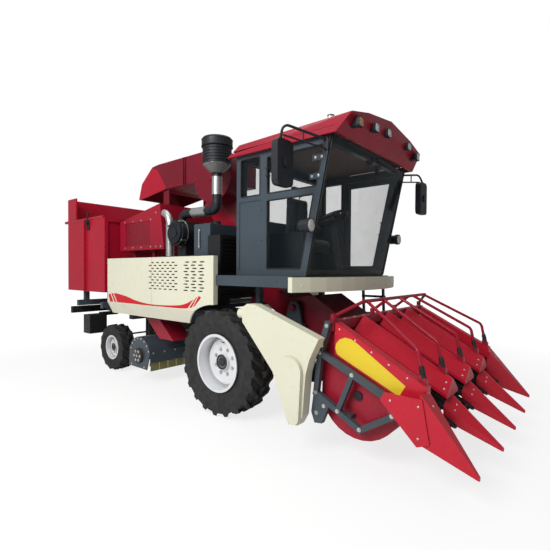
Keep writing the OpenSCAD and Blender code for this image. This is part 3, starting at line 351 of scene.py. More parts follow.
@dataclass(frozen=True)
class Metal:
    """Bare or plated metal with fine draw lines."""

    name: str
    colour: Colour
    roughness: float
    grain: float = 90.0
    stain: float = 0.2
    metallic: float = 1.0
    worn_share: float = 0.55
    patch: float = 5.0
    # Strength and reach of the painted shade in corners.
    grime: float = 0.5
    corner_shade_reach: float = 0.05
    line_depth: float = 0.0005

    def material(self) -> bpy.types.Material:
        """Builds the node material.

        Returns:
            The material.
        """
        bench = NodeBench(self.name)
        bench.set(metallic=self.metallic)
        worn = tuple(self.worn_share * part for part in self.colour)
        cloud = bench.share(bench.noise(self.patch, detail=6.0, rough=0.65), 0.45, 0.75)
        patches = bench.math("MULTIPLY", cloud, self.stain)
        tone = bench.mix(patches, self.colour, worn)
        # Painted shade: corners found by ambient occlusion darken towards near black.
        tone = bench.mix(bench.math("MULTIPLY", bench.corners(self.corner_shade_reach), self.grime), tone, PAINTED_SHADE_TONE)
        bench.feed("Base Color", tone)
        lines = bench.noise(self.grain, detail=3.0)
        drawn = bench.span(lines, 0.3, 0.7, self.roughness - 0.05, self.roughness + 0.12)
        bench.feed("Roughness", drawn)
        scratches = bench.noise(self.grain * 3.0, detail=2.0)
        bench.feed("Normal", bench.bump(scratches, strength=0.12, depth=self.line_depth))
        return bench.material


@dataclass(frozen=True)
class Plastic:
    """Moulded or rubbery plastic with a fine leathery grain."""

    name: str
    colour: Colour
    roughness: float = 0.5
    grain: float = 260.0
    dust: float = 0.10
    specular: float = 0.4
    film: float = 9.0
    cloud: float = 14.0
    grain_depth: float = 0.0004

    def material(self) -> bpy.types.Material:
        """Builds the node material.

        Returns:
            The material.
        """
        bench = NodeBench(self.name)
        bench.set(specular_ior_level=self.specular)
        patches = bench.share(bench.noise(self.film, detail=6.0, rough=0.65), 0.4, 0.8)
        film = bench.math("MULTIPLY", patches, self.dust)
        bench.feed("Base Color", bench.mix(film, self.colour, DUST))
        cloud = bench.noise(self.cloud, detail=4.0)
        cloudy = bench.span(cloud, 0.3, 0.7, self.roughness - 0.08, self.roughness + 0.1)
        bench.feed("Roughness", cloudy)
        bench.feed("Normal", bench.bump(bench.cells(self.grain), strength=0.06, depth=self.grain_depth))
        return bench.material


@dataclass(frozen=True)
class TyreRubber:
    """Vulcanised rubber with moulded rings on the sidewall, centred on one wheel."""

    name: str
    hub: Point
    bead: float
    tread: float
    colour: Colour = (0.024, 0.024, 0.025)
    dusted: Colour = (0.105, 0.098, 0.088)
    specular: float = 0.3
    rings: int = 16
    wall_end: Point2 = (0.84, 0.90)
    ring_depth: float = 0.0022
    pore: float = 160.0
    pore_depth: float = 0.0012

    def material(self) -> bpy.types.Material:
        """Builds the node material.

        Returns:
            The material.
        """
        bench = NodeBench(self.name)
        bench.set(specular_ior_level=self.specular)
        shift = bench.nodes.new("ShaderNodeMapping")
        shift.vector_type = "POINT"
        shift.inputs["Location"].default_value = (-self.hub[0], 0.0, -self.hub[2])
        shift.inputs["Scale"].default_value = (1.0, 0.0, 1.0)
        bench.links.new(bench.coords.outputs["Object"], shift.inputs["Vector"])
        length = bench.nodes.new("ShaderNodeVectorMath")
        length.operation = "LENGTH"
        bench.links.new(shift.outputs[0], length.inputs[0])
        radius = length.outputs["Value"]
        ring_pitch = (self.tread - self.bead) / self.rings
        rings = bench.math("SINE", bench.math("MULTIPLY", radius, 2 * math.pi / ring_pitch), 0.0)
        start, end = (self.tread * part for part in self.wall_end)
        inside = bench.span(radius, start, end, 1.0, 0.0)
        wall = bench.math("MULTIPLY", inside, bench.share(rings, 0.55, 0.95))
        dusty = bench.span(bench.noise(scale=11.0, detail=7.0, rough=0.7), 0.42, 0.78, 0.0, 0.30)
        bench.feed("Base Color", bench.mix(dusty, self.colour, self.dusted))
        bench.feed("Roughness", bench.span(bench.noise(scale=18.0, detail=5.0), 0.3, 0.7, 0.58, 0.82))
        fine = bench.bump(bench.noise(self.pore, detail=4.0), strength=0.18, depth=self.pore_depth)
        bench.feed("Normal", bench.bump(wall, strength=0.5, depth=self.ring_depth, under=fine))
        return bench.material


@dataclass(frozen=True)
class Glass:
    """Tinted safety glass or clear plastic with faint wiping marks."""

    name: str
    tint: Colour
    body: float = 0.11
    haze: float = 0.04
    glancing: float = 0.9
    falloff: float = 4.0

    def material(self) -> bpy.types.Material:
        """Builds the node material.

        Returns:
            The material.
        """
        bench = NodeBench(self.name)
        bench.set(base_color=(*self.tint, 1.0), specular_ior_level=0.5)
        edge = bench.nodes.new("ShaderNodeLayerWeight")
        edge.inputs["Blend"].default_value = 0.5
        glance = bench.math("POWER", edge.outputs["Facing"], self.falloff)
        marks = bench.span(bench.noise(scale=3.0, detail=6.0, rough=0.7), 0.45, 0.8, 0.0, self.haze)
        cover = bench.math("ADD", bench.span(glance, 0.0, 1.0, self.body, self.glancing), marks)
        bench.feed("Alpha", cover)
        bench.feed("Roughness", bench.span(bench.noise(scale=6.0, detail=5.0), 0.35, 0.8, 0.02, 0.08))
        return bench.material


@dataclass(frozen=True)
class Fabric:
    """Coarse woven seat cloth."""

    name: str
    colour: Colour
    thread: float = 420.0
    thread_depth: float = 0.0008
    lift: float = 1.7

    def material(self) -> bpy.types.Material:
        """Builds the node material.

        Returns:
            The material.
        """
        bench = NodeBench(self.name)
        bench.set(sheen_weight=0.35, sheen_roughness=0.5, specular_ior_level=0.2)
        pale = tuple(self.lift * part for part in self.colour)
        lift = bench.span(bench.noise(scale=16.0, detail=5.0), 0.3, 0.75, 0.0, 0.45)
        bench.feed("Base Color", bench.mix(lift, self.colour, pale))
        bench.feed("Roughness", bench.span(bench.noise(scale=30.0, detail=3.0), 0.3, 0.7, 0.78, 0.95))
        across, along, _ = bench.axes()
        weft = bench.math("SINE", bench.math("MULTIPLY", across, self.thread * 2), 0.0)
        warp = bench.math("SINE", bench.math("MULTIPLY", along, self.thread * 2), 0.0)
        weave = bench.math("MULTIPLY", weft, warp)
        bench.feed("Normal", bench.bump(weave, strength=0.35, depth=self.thread_depth))
        return bench.material


@dataclass(frozen=True)
class Lens:
    """A pressed lamp lens with fine flutes."""

    name: str
    colour: Colour
    flute: float = 320.0
    flute_depth: float = 0.002
    dim: float = 0.45

    def material(self) -> bpy.types.Material:
        """Builds the node material.

        Returns:
            The material.
        """
        bench = NodeBench(self.name)
        bench.set(roughness=0.12, coat_weight=1.0, coat_roughness=0.04, specular_ior_level=0.7)
        dim = tuple(self.dim * part for part in self.colour)
        cloudy = bench.share(bench.noise(scale=40.0, detail=4.0), 0.35, 0.7)
        bench.feed("Base Color", bench.mix(cloudy, self.colour, dim))
        _, along, _ = bench.axes()
        flutes = bench.math("SINE", bench.math("MULTIPLY", along, self.flute * 2), 0.0)
        bench.feed("Normal", bench.bump(flutes, strength=0.4, depth=self.flute_depth))
        return bench.material


Finish = Paint | Metal | Plastic | TyreRubber | Glass | Fabric | Lens

RED = Paint("machine_red", (0.46, 0.008, 0.030), (0.41, 0.007, 0.027))
# A lighter copy of the machine red for the lit row dividers: painted light.
LIT_RED = Paint("red_painted_light", (0.58, 0.010, 0.032), (0.51, 0.009, 0.028))
# A darker copy of the machine red for header trough, husker, elevator, cab roof and crop guard: painted
# shade.
SHADED_RED = Paint("red_painted_shade", (0.36, 0.008, 0.028), (0.31, 0.007, 0.024), roughness=0.34)
# A much darker copy of the machine red for the discharge duct and feeder house: painted shade.
DEEPLY_SHADED_RED = Paint("red_painted_deep_shade", (0.20, 0.008, 0.024), (0.16, 0.006, 0.018), roughness=0.36)
CREAM = Paint("cream_panel", (0.77, 0.76, 0.60), (0.74, 0.73, 0.57), grime=0.3, dust=0.04)
SLATE = Paint("slate_frame", (0.060, 0.080, 0.098), (0.050, 0.067, 0.083), roughness=0.36)
BLACK = Paint("black_chassis", (0.016, 0.017, 0.019), (0.011, 0.012, 0.014), roughness=0.42, coat=0.1)
IRON = Paint("cast_iron", (0.045, 0.047, 0.050), (0.030, 0.031, 0.034), roughness=0.55, coat=0.0)
SILVER = Paint("rim_silver", (0.82, 0.83, 0.85), (0.78, 0.79, 0.81), roughness=0.34, metallic=0.15, grime=0.2)
CHROME = Metal("rod_chrome", (0.74, 0.74, 0.75), 0.16, stain=0.1)
PIPE = Metal("pipe_steel", (0.58, 0.58, 0.58), 0.34, stain=0.35, metallic=0.85)
ZINC = Metal("zinc_bolt", (0.66, 0.65, 0.62), 0.34)
MIRROR = Metal("mirror_silver", (0.82, 0.83, 0.84), 0.06, stain=0.05)
BLACK_PLASTIC = Plastic("black_plastic", (0.010, 0.013, 0.018), dust=0.03)
SEAL_RUBBER = Plastic("seal_rubber", (0.012, 0.012, 0.013), roughness=0.62)
CURTAIN = Plastic("curtain_rubber", (0.24, 0.22, 0.08), roughness=0.7)
LINING = Plastic("lining_board", (0.20, 0.150, 0.130), roughness=0.8)
SEAT = Fabric("seat_cloth", (0.030, 0.031, 0.034))
GLASS = Glass("cab_glass_tint", (0.016, 0.032, 0.038))
BOWL = Glass("bowl_plastic", (0.30, 0.29, 0.28), body=0.55, haze=0.25)
WHITE_LENS = Lens("white_lens", (0.80, 0.81, 0.80))
AMBER_LENS = Lens("amber_lens", (0.62, 0.27, 0.05))
STRIPE_RED = Paint("stripe_red", (0.62, 0.012, 0.020), (0.56, 0.010, 0.018), grime=0.1, dust=0.05)
BAND_YELLOW = Paint("band_yellow", (0.86, 0.64, 0.03), (0.82, 0.59, 0.03), grime=0.1, dust=0.05)

SLOT_FINISH: dict[str, Finish] = {
    "red": RED, "cream": CREAM, "slate": SLATE, "black": BLACK, "iron": IRON, "rim_silver": SILVER,
    "glass": GLASS, "black_plastic": BLACK_PLASTIC, "seat_cover": SEAT, "bright_steel": CHROME,
    "pipe_steel": PIPE, "curtain_rubber": CURTAIN,
}


class Paintshop:
    """Makes each finish once and hands out its material."""

    def __init__(self) -> None:
        """Starts with no material made."""
        self.made: dict[str, bpy.types.Material] = {}

    def get(self, finish: Finish) -> bpy.types.Material:
        """Returns the material of a finish, made on first use."""
        if finish.name not in self.made:
            self.made[finish.name] = finish.material()
        return self.made[finish.name]


SHOP = Paintshop()


def finish_piece(name: str, mesh: bpy.types.Mesh, carrier: Carrier) -> bpy.types.Object:
    """Puts a finished mesh on its body and reports it.

    Args:
        name: Name of the piece.
        mesh: Its mesh, in the frame's axes.
        carrier: Body that it rides on.

    Returns:
        The new object.
    """
    piece = bpy.data.objects.new(name, mesh)
    bpy.context.scene.collection.objects.link(piece)
    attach(piece, carrier.value)
    LOG.info("%s: %d faces on %s", name, len(mesh.polygons), carrier.value)
    return piece


def square_to(way: Vector) -> tuple[Vector, Vector]:
    """Finds two directions square to a way and to each other.

    Args:
        way: Unit direction.

    Returns:
        The two unit directions.
    """
    rough = Vector((0.0, 0.0, 1.0)) if abs(way.z) < 0.9 else Vector((1.0, 0.0, 0.0))
    side = way.cross(rough).normalized()
    return side, way.cross(side)


def rounded(points: Sequence[Vector], radius: float, steps: int = 6, closed: bool = False) -> list[Vector]:
    """Rounds the corners of a path.

    Args:
        points: Corners of the path.
        radius: How far from each corner the curve starts.
        steps: Stretches in each curve.
        closed: The path runs back to its start.

    Returns:
        The path's points.
    """
    count = len(points)
    path: list[Vector] = []
    for i, corner in enumerate(points):
        if not closed and i in (0, count - 1):
            path.append(corner.copy())
            continue
        before, after = points[i - 1], points[(i + 1) % count]
        reach = min(radius, 0.45 * (before - corner).length, 0.45 * (after - corner).length)
        start = corner + reach * (before - corner).normalized()
        end = corner + reach * (after - corner).normalized()
        for step in range(steps + 1):
            t = step / steps
            path.append((1 - t) ** 2 * start + 2 * t * (1 - t) * corner + t * t * end)
    return path


def flowing(points: Sequence[Point2], steps: int = 6) -> list[Point2]:
    """Draws a smooth line through points in a plane.

    Args:
        points: Points on the line.
        steps: Stretches between two points.

    Returns:
        The line's points.
    """
    ends = [points[0], *points, points[-1]]
    line: list[Point2] = []
    for a, b, c, d in zip(ends, ends[1:], ends[2:], ends[3:]):
        for step in range(steps):
            t = step / steps
            line.append(tuple(0.5 * (2 * q + (r - p) * t + (2 * p - 5 * q + 4 * r - s) * t * t
                                     + (3 * q - p - 3 * r + s) * t ** 3) for p, q, r, s in zip(a, b, c, d)))
    line.append(points[-1])
    return line


def round_points(centre: Vector, side: Vector, other: Vector, radius: float, count: int,
                 start: float = 0.0) -> list[Vector]:
    """Sets points evenly round a circle.

    Args:
        centre: Its middle.
        side: Unit direction of the first point, before the start angle.
        other: Unit direction square to it, towards which the points run.
        radius: Its radius.
        count: Number of points.
        start: Angle of the first point.

    Returns:
        The points.
    """
    turns = [start + 2 * math.pi * step / count for step in range(count)]
    return [centre + radius * (math.cos(turn) * side + math.sin(turn) * other) for turn in turns]


class Shape:
    """A mesh under construction in the frame's axes, from forms that keep their own closed skins."""

    def __init__(self) -> None:
        """Starts empty."""
        self.bm = bmesh.new()

    def take(self, part: bmesh.types.BMesh) -> None:
        """Joins a finished form into the shape and frees it.

        Args:
            part: The form, in the frame's axes.
        """
        bmesh.ops.recalc_face_normals(part, faces=part.faces)
        mesh = bpy.data.meshes.new("form")
        part.to_mesh(mesh)
        part.free()
        self.bm.from_mesh(mesh)
        bpy.data.meshes.remove(mesh)

    def prism(self, outline: Sequence[Vector], depth: Vector, bevel: float = 0.0, steps: int = 2) -> None:
        """Adds a plate of any outline.

        Args:
            outline: Corners of one face.
            depth: From that face to the other.
            bevel: Size of the rounded edges.
            steps: Stretches in a rounded edge.
        """
        part = bmesh.new()
        near = [part.verts.new(point) for point in outline]
        far = [part.verts.new(point + depth) for point in outline]
        part.faces.new(near)
        part.faces.new(far[::-1])
        for i in range(len(near)):
            j = (i + 1) % len(near)
            part.faces.new((near[i], far[i], far[j], near[j]))
        if bevel:
            bmesh.ops.bevel(part, geom=part.edges[:], offset=bevel, segments=steps, profile=0.5,
                            affect="EDGES")
        self.take(part)

    def tube(self, path: Sequence[Vector], radius: float, sides: int = 14, closed: bool = False) -> None:
        """Adds a round bar along a path.

        Args:
            path: Points of its middle line.
            radius: Its radius.
            sides: Sides of its section.
            closed: The path runs back to its start.
        """
        part = bmesh.new()
        count = len(path)
        rings = []
        up = None
        for i in range(count):
            after = (i + 1) % count if closed else min(i + 1, count - 1)
            before = i - 1 if closed else max(i - 1, 0)
            ahead = (path[after] - path[before]).normalized()
            up = square_to(ahead)[0] if up is None else (up - ahead * up.dot(ahead)).normalized()
            side = ahead.cross(up)
            rings.append([part.verts.new(point) for point in round_points(path[i], side, up, radius, sides)])
        pairs = list(zip(rings, rings[1:])) + ([(rings[-1], rings[0])] if closed else [])
        for a, b in pairs:
            for k in range(sides):
                part.faces.new((a[k], a[(k + 1) % sides], b[(k + 1) % sides], b[k]))
        if not closed:
            part.faces.new(rings[0][::-1])
            part.faces.new(rings[-1])
        self.take(part)

    def lathe(self, centre: Vector, axis: Vector, profile: Sequence[Point2], sides: int = 32) -> None:
        """Adds a turned form; a profile that ends off the axis runs back to its start.

        Args:
            centre: Point on the axis.
            axis: Unit direction of the axis.
            profile: Pairs of radius and distance along the axis.
            sides: Sides round the axis.
        """
        part = bmesh.new()
        side, other = square_to(axis)
        rings = []
        for radius, along in profile:
            middle_point = centre + along * axis
            if radius == 0.0:
                rings.append([part.verts.new(middle_point)])
                continue
            loop = round_points(middle_point, side, other, radius, sides)
            rings.append([part.verts.new(point) for point in loop])
        hollow = profile[0][0] > 0.0 and profile[-1][0] > 0.0
        for a, b in list(zip(rings, rings[1:])) + ([(rings[-1], rings[0])] if hollow else []):
            for k in range(sides):
                j = (k + 1) % sides
                corners = [a[k % len(a)], a[j % len(a)], b[j % len(b)], b[k % len(b)]]
                part.faces.new(list(dict.fromkeys(corners)))
        self.take(part)

    def pillow(self, outline: Sequence[Vector], out: Vector, thick: float, bulge: float,
               steps: int = 5) -> None:
        """Adds a lens: a short wall round an outline, closed by a crowned face.

        Args:
            outline: Points round the lens at its back.
            out: Unit direction that it faces.
            thick: Height of the wall.
            bulge: Rise of the crown over the wall.
            steps: Rings in the crown.
        """
        part = bmesh.new()
        heart = sum(outline, Vector()) / len(outline)
        back = [part.verts.new(point) for point in outline]
        part.faces.new(back[::-1])
        last = back
        for step in range(steps):
            share = 1 - step / steps
            lift = thick + bulge * (1 - share * share)
            now = [part.verts.new(heart + share * (point - heart) + lift * out) for point in outline]
            for k in range(len(now)):
                j = (k + 1) % len(now)
                part.faces.new((last[k], last[j], now[j], now[k]))
            last = now
        top = part.verts.new(heart + (thick + bulge) * out)
        for k in range(len(last)):
            part.faces.new((last[k], last[(k + 1) % len(last)], top))
        self.take(part)

    def piece(self, name: str, carrier: Carrier, finish: Finish, slot: str,
              crease: float = 35.0) -> bpy.types.Object:
        """Closes the shape and puts it on its body.

        Args:
            name: Name of the piece.
            carrier: Body that it rides on.
            finish: Finish of all its faces.
            slot: The record's material slot; not used.
            crease: Angle in degrees past which an edge stays sharp.

        Returns:
            The new object.
        """
        mesh = bpy.data.meshes.new(name)
        self.bm.to_mesh(mesh)
        self.bm.free()
        mesh.materials.append(SHOP.get(finish))
        mesh.shade_smooth()
        mesh.set_sharp_from_angle(angle=math.radians(crease))
        return finish_piece(name, mesh, carrier)


class Skin:
    """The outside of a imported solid, for setting small fittings down on it."""

    def __init__(self, node: str) -> None:
        """Reads the node's triangles.

        Args:
            node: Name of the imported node.
        """
        mesh = frame["nodes"][node].data
        self.tree = BVHTree.FromPolygons([corner.co.copy() for corner in mesh.vertices],
                                         [tuple(face.vertices) for face in mesh.polygons])

    def spots(self, starts: Sequence[Vector], way: Vector) -> list[Spot]:
        """Finds where rays from outside first meet the solid.

        Args:
            starts: Starts of the rays.
            way: Their direction.

        Returns:
            Points on the solid with the way that each faces; rays that miss are left out.
        """
        found = []
        for start in starts:
            place, normal, _, _ = self.tree.ray_cast(start, way)
            if place is not None:
                found.append((place, normal if normal.dot(way) < 0 else -normal))
        return found


@dataclass
class PointField:
    """Like small fittings on one body, set out by a node tree on points that know which way they face."""

    name: str
    carrier: Carrier
    spots: list[Spot]
    radius: float = 0.012
    height: float = 0.008
    head: Head = Head.HEX
    finish: Finish = ZINC
    slot: str = "bright_steel"

    def form(self, group: bpy.types.NodeTree, start: bpy.types.Node) -> Socket:
        """Adds the nodes that make one fitting, standing on Z.

        Args:
            group: The tree.
            start: Its Group Input node.

        Returns:
            The fitting's geometry.
        """
        nodes, links = group.nodes, group.links
        radius, height = start.outputs["Head Radius"], start.outputs["Head Height"]
        # A flat disc, laid black by the husker's screens as painted shade inside their holes.
        if self.head is Head.HOLE_SHADE:
            disc = nodes.new("GeometryNodeMeshCircle")
            disc.fill_type = "NGON"
            disc.inputs["Vertices"].default_value = 8
            links.new(radius, disc.inputs["Radius"])
            return disc.outputs["Mesh"]
        if self.head is Head.DOME:
            ball = nodes.new("GeometryNodeMeshUVSphere")
            ball.inputs["Segments"].default_value = 12
            ball.inputs["Rings"].default_value = 6
            links.new(radius, ball.inputs["Radius"])
            flat = nodes.new("ShaderNodeMath")
            flat.operation = "DIVIDE"
            links.new(height, flat.inputs[0])
            links.new(radius, flat.inputs[1])
            scale = nodes.new("ShaderNodeCombineXYZ")
            scale.inputs["X"].default_value = 1.0
            scale.inputs["Y"].default_value = 1.0
            links.new(flat.outputs[0], scale.inputs["Z"])
            squeeze = nodes.new("GeometryNodeTransform")
            links.new(ball.outputs["Mesh"], squeeze.inputs["Geometry"])
            links.new(scale.outputs[0], squeeze.inputs["Scale"])
            return squeeze.outputs[0]
        both = nodes.new("GeometryNodeJoinGeometry")
        for sides, wide, tall in ((6, 1.0, 2.0), (14, 1.5, 0.8)):
            disc = nodes.new("GeometryNodeMeshCylinder")
            disc.inputs["Vertices"].default_value = sides
            for source, factor, target in ((radius, wide, "Radius"), (height, tall, "Depth")):
                size = nodes.new("ShaderNodeMath")
                size.operation = "MULTIPLY"
                size.inputs[1].default_value = factor
                links.new(source, size.inputs[0])
                links.new(size.outputs[0], disc.inputs[target])
            links.new(disc.outputs["Mesh"], both.inputs[0])
        return both.outputs[0]

    def tree(self) -> bpy.types.NodeTree:
        """Builds the node tree with its named inputs.

        Returns:
            The tree, which ends in Realize Instances and Set Material.
        """
        group = bpy.data.node_groups.new(f"{self.name}_tree", "GeometryNodeTree")
        sockets = (("Points", "NodeSocketGeometry", "INPUT"), ("Head Radius", "NodeSocketFloat", "INPUT"),
                   ("Head Height", "NodeSocketFloat", "INPUT"), ("Finish", "NodeSocketMaterial", "INPUT"),
                   ("Fittings", "NodeSocketGeometry", "OUTPUT"))
        for label, kind, way in sockets:
            group.interface.new_socket(label, in_out=way, socket_type=kind)
        nodes, links = group.nodes, group.links
        start = nodes.new("NodeGroupInput")
        end = nodes.new("NodeGroupOutput")
        facing = nodes.new("GeometryNodeInputNamedAttribute")
        facing.data_type = "FLOAT_VECTOR"
        facing.inputs["Name"].default_value = "facing"
        turn = nodes.new("FunctionNodeAlignRotationToVector")
        turn.axis = "Z"
        links.new(facing.outputs[0], turn.inputs["Vector"])
        spread = nodes.new("GeometryNodeInstanceOnPoints")
        links.new(start.outputs["Points"], spread.inputs["Points"])
        links.new(self.form(group, start), spread.inputs["Instance"])
        links.new(turn.outputs[0], spread.inputs["Rotation"])
        real = nodes.new("GeometryNodeRealizeInstances")
        coat = nodes.new("GeometryNodeSetMaterial")
        links.new(spread.outputs[0], real.inputs[0])
        links.new(real.outputs[0], coat.inputs["Geometry"])
        links.new(start.outputs["Finish"], coat.inputs["Material"])
        links.new(coat.outputs[0], end.inputs[0])
        return group

    def build(self) -> bpy.types.Object:
        """Sets the fittings out and returns the plain piece."""
        points = bpy.data.meshes.new(self.name)
        points.from_pydata([tuple(spot) for spot, _ in self.spots], [], [])
        layer = points.attributes.new("facing", "FLOAT_VECTOR", "POINT")
        for item, (_, way) in zip(layer.data, self.spots):
            item.vector = way
        holder = bpy.data.objects.new(self.name, points)
        bpy.context.scene.collection.objects.link(holder)
        tree = self.tree()
        spread = holder.modifiers.new("fittings", "NODES")
        spread.node_group = tree
        sockets = {item.name: item.identifier for item in tree.interface.items_tree if item.in_out == "INPUT"}
        spread[sockets["Head Radius"]] = self.radius
        spread[sockets["Head Height"]] = self.height
        spread[sockets["Finish"]] = SHOP.get(self.finish)
        seen = holder.evaluated_get(bpy.context.evaluated_depsgraph_get())
        mesh = bpy.data.meshes.new_from_object(seen)
        bpy.data.objects.remove(holder)
        mesh.name = self.name
        if self.head is Head.DOME:
            mesh.shade_smooth()
        return finish_piece(self.name, mesh, self.carrier)


def ring(centre: Vector, radius: float, count: int, way: Vector, start: float = 0.0) -> list[Spot]:
    """Places fittings on a circle.

    Args:
        centre: Middle of the circle.
        radius: Its radius.
        count: Number of fittings.
        way: Unit direction that they face.
        start: Angle of the first.

    Returns:
        Points with the way that each faces.
    """
    side, other = square_to(way)
    return [(place, way.copy()) for place in round_points(centre, side, other, radius, count, start)]


def circle(centre: Vector, axis: Vector, radius: float, count: int = 32) -> list[Vector]:
    """Returns points round a circle for a closed tube."""
    return [place for place, _ in ring(centre, radius, count, axis)]


def soft_square(centre: Vector, across: Vector, up: Vector, width: float, tall: float,
                corner: float) -> list[Vector]:
    """Draws a rectangle with round corners.

    Args:
        centre: Its middle.
        across: Unit direction of its width.
        up: Unit direction of its height.
        width: Width.
        tall: Height.
        corner: Reach of the round corners.

    Returns:
        Points round the outline.
    """
    signs = ((-1, -1), (1, -1), (1, 1), (-1, 1))
    corners = [centre + a * width / 2 * across + b * tall / 2 * up for a, b in signs]
    return rounded(corners, corner, steps=4, closed=True)


AHEAD = Vector((1.0, 0.0, 0.0))
LEFT = Vector((0.0, 1.0, 0.0))
UP = Vector((0.0, 0.0, 1.0))
SIDES: Point2 = (-1.0, 1.0)
# Rays that look for the skin of a solid start this far out or up, clear of that solid.
OUTSIDE = 3.0


@dataclass
class Studio:
    """Camera at the photo's place, soft light and a pale floor."""

    eye: Point = (4.214, -4.325, 1.754)
    yaw: float = math.radians(39.592)
    pitch: float = math.radians(-1.029)
    roll: float = math.radians(0.346)
    sensor: float = 36.0
    lens: float = 25.818
    shift: Point2 = (-0.0018, 0.0056)
    floor_size: float = 120.0
    sky: float = 0.22
    mirrored: float = 0.12
    floor_tone: float = 0.82
    floor_roughness: float = 0.9
    floor_glow: float = 0.70
    glow: float = 1.12
    far_clip: float = 200.0
    fade: Point2 = (4.5, 10.0)
    lamps: tuple[tuple[str, Point, Point, float, float], ...] = (
        ("key", (1.2, -9.0, 7.0), (0.9, 0.0, 1.2), 5.0, 820.0),
        ("top", (-0.5, 0.5, 11.0), (-0.5, 0.0, 1.5), 7.0, 280.0),
        ("rear", (-9.0, 6.0, 6.0), (0.0, 0.0, 1.5), 6.0, 220.0))

    def camera(self) -> None:
        """Sets the camera up."""
        lens = bpy.data.cameras.new("photo_camera")
        lens.sensor_width = self.sensor
        lens.lens = self.lens
        lens.shift_x, lens.shift_y = self.shift
        lens.clip_end = self.far_clip
        ahead = Vector((-math.sin(self.yaw) * math.cos(self.pitch), math.cos(self.yaw) * math.cos(self.pitch),
                        math.sin(self.pitch)))
        right = Vector((math.cos(self.yaw), math.sin(self.yaw), 0.0))
        up = right.cross(ahead)
        across = math.cos(self.roll) * right + math.sin(self.roll) * up
        above = math.cos(self.roll) * up - math.sin(self.roll) * right
        holder = bpy.data.objects.new("photo_camera", lens)
        bpy.context.scene.collection.objects.link(holder)
        turn = Matrix((across, above, -ahead)).transposed().to_4x4()
        holder.matrix_world = Matrix.Translation(self.eye) @ turn
        bpy.context.scene.camera = holder

    def lamp(self, name: str, place: Point, target: Point, size: float, power: float) -> None:
        """Hangs one soft area lamp.

        Args:
            name: Name of the lamp.
            place: Where it hangs.
            target: Where it points.
            size: Side of its square.
            power: Watts.
        """
        light = bpy.data.lights.new(name, "AREA")
        light.size = size
        light.energy = power
        holder = bpy.data.objects.new(name, light)
        bpy.context.scene.collection.objects.link(holder)
        holder.location = place
        holder.rotation_euler = (Vector(target) - Vector(place)).to_track_quat("-Z", "Y").to_euler()

    def seen_directly(self, nodes: bpy.types.Nodes, links: bpy.types.NodeLinks) -> Socket:
        """Adds nodes that tell what the eye sees, straight, through glass or, dimmer, mirrored.

        Args:
            nodes: Nodes of the tree.
            links: Its links.

        Returns:
            1 for such rays, the mirrored share for glossy ones, otherwise 0.
        """
        path = nodes.new("ShaderNodeLightPath")
        mirrored = nodes.new("ShaderNodeMath")
        mirrored.operation = "MULTIPLY"
        mirrored.inputs[1].default_value = self.mirrored
        links.new(path.outputs["Is Glossy Ray"], mirrored.inputs[0])
        answer = mirrored.outputs[0]
        for straight in ("Is Camera Ray", "Is Transmission Ray"):
            either = nodes.new("ShaderNodeMath")
            either.operation = "MAXIMUM"
            links.new(answer, either.inputs[0])
            links.new(path.outputs[straight], either.inputs[1])
            answer = either.outputs[0]
        return answer

    def world(self) -> None:
        """Lights all round: white to the eye, dimmer in mirrors and on surfaces."""
        world = bpy.data.worlds.new("studio_white")
        bpy.context.scene.world = world
        world.use_nodes = True
        nodes, links = world.node_tree.nodes, world.node_tree.links
        sky = nodes["Background"]
        sky.inputs["Color"].default_value = (1.0, 1.0, 1.0, 1.0)
        level = nodes.new("ShaderNodeMapRange")
        level.inputs["To Min"].default_value = self.sky
        level.inputs["To Max"].default_value = 1.0
        links.new(self.seen_directly(nodes, links), level.inputs[0])
        links.new(level.outputs[0], sky.inputs["Strength"])

    def floor(self) -> None:
        """Lays the pale floor, which keeps the shadow and fades to white far out."""
        half = self.floor_size / 2
        mesh = bpy.data.meshes.new("studio_floor")
        corners = [(-half, -half, 0), (half, -half, 0), (half, half, 0), (-half, half, 0)]
        mesh.from_pydata(corners, [], [(0, 1, 2, 3)])
        floor = bpy.data.objects.new("studio_floor", mesh)
        bpy.context.scene.collection.objects.link(floor)
        material = bpy.data.materials.new("pale_floor")
        material.use_nodes = True
        nodes, links = material.node_tree.nodes, material.node_tree.links
        matt = nodes["Principled BSDF"]
        matt.inputs["Base Color"].default_value = (self.floor_tone, self.floor_tone, self.floor_tone, 1.0)
        matt.inputs["Roughness"].default_value = self.floor_roughness
        glow = nodes.new("ShaderNodeEmission")
        glow.inputs["Strength"].default_value = self.glow
        share = nodes.new("ShaderNodeMath")
        share.operation = "MULTIPLY"
        place = nodes.new("ShaderNodeTexCoord")
        reach = nodes.new("ShaderNodeVectorMath")
        reach.operation = "LENGTH"
        links.new(place.outputs["Object"], reach.inputs[0])
        fade = nodes.new("ShaderNodeMapRange")
        ends = {"From Min": self.fade[0], "From Max": self.fade[1], "To Min": self.floor_glow, "To Max": 1.0}
        for socket, value in ends.items():
            fade.inputs[socket].default_value = value
        links.new(reach.outputs["Value"], fade.inputs[0])
        links.new(fade.outputs[0], share.inputs[1])
        blend = nodes.new("ShaderNodeMixShader")
        links.new(self.seen_directly(nodes, links), share.inputs[0])
        links.new(share.outputs[0], blend.inputs[0])
        links.new(matt.outputs[0], blend.inputs[1])
        links.new(glow.outputs[0], blend.inputs[2])
        links.new(blend.outputs[0], nodes["Material Output"].inputs["Surface"])
        mesh.materials.append(material)

    def build(self) -> None:
        """Builds the whole studio."""
        self.camera()
        self.world()
        for lamp in self.lamps:
            self.lamp(*lamp)
        self.floor()
        bpy.context.scene.view_settings.view_transform = "Standard"


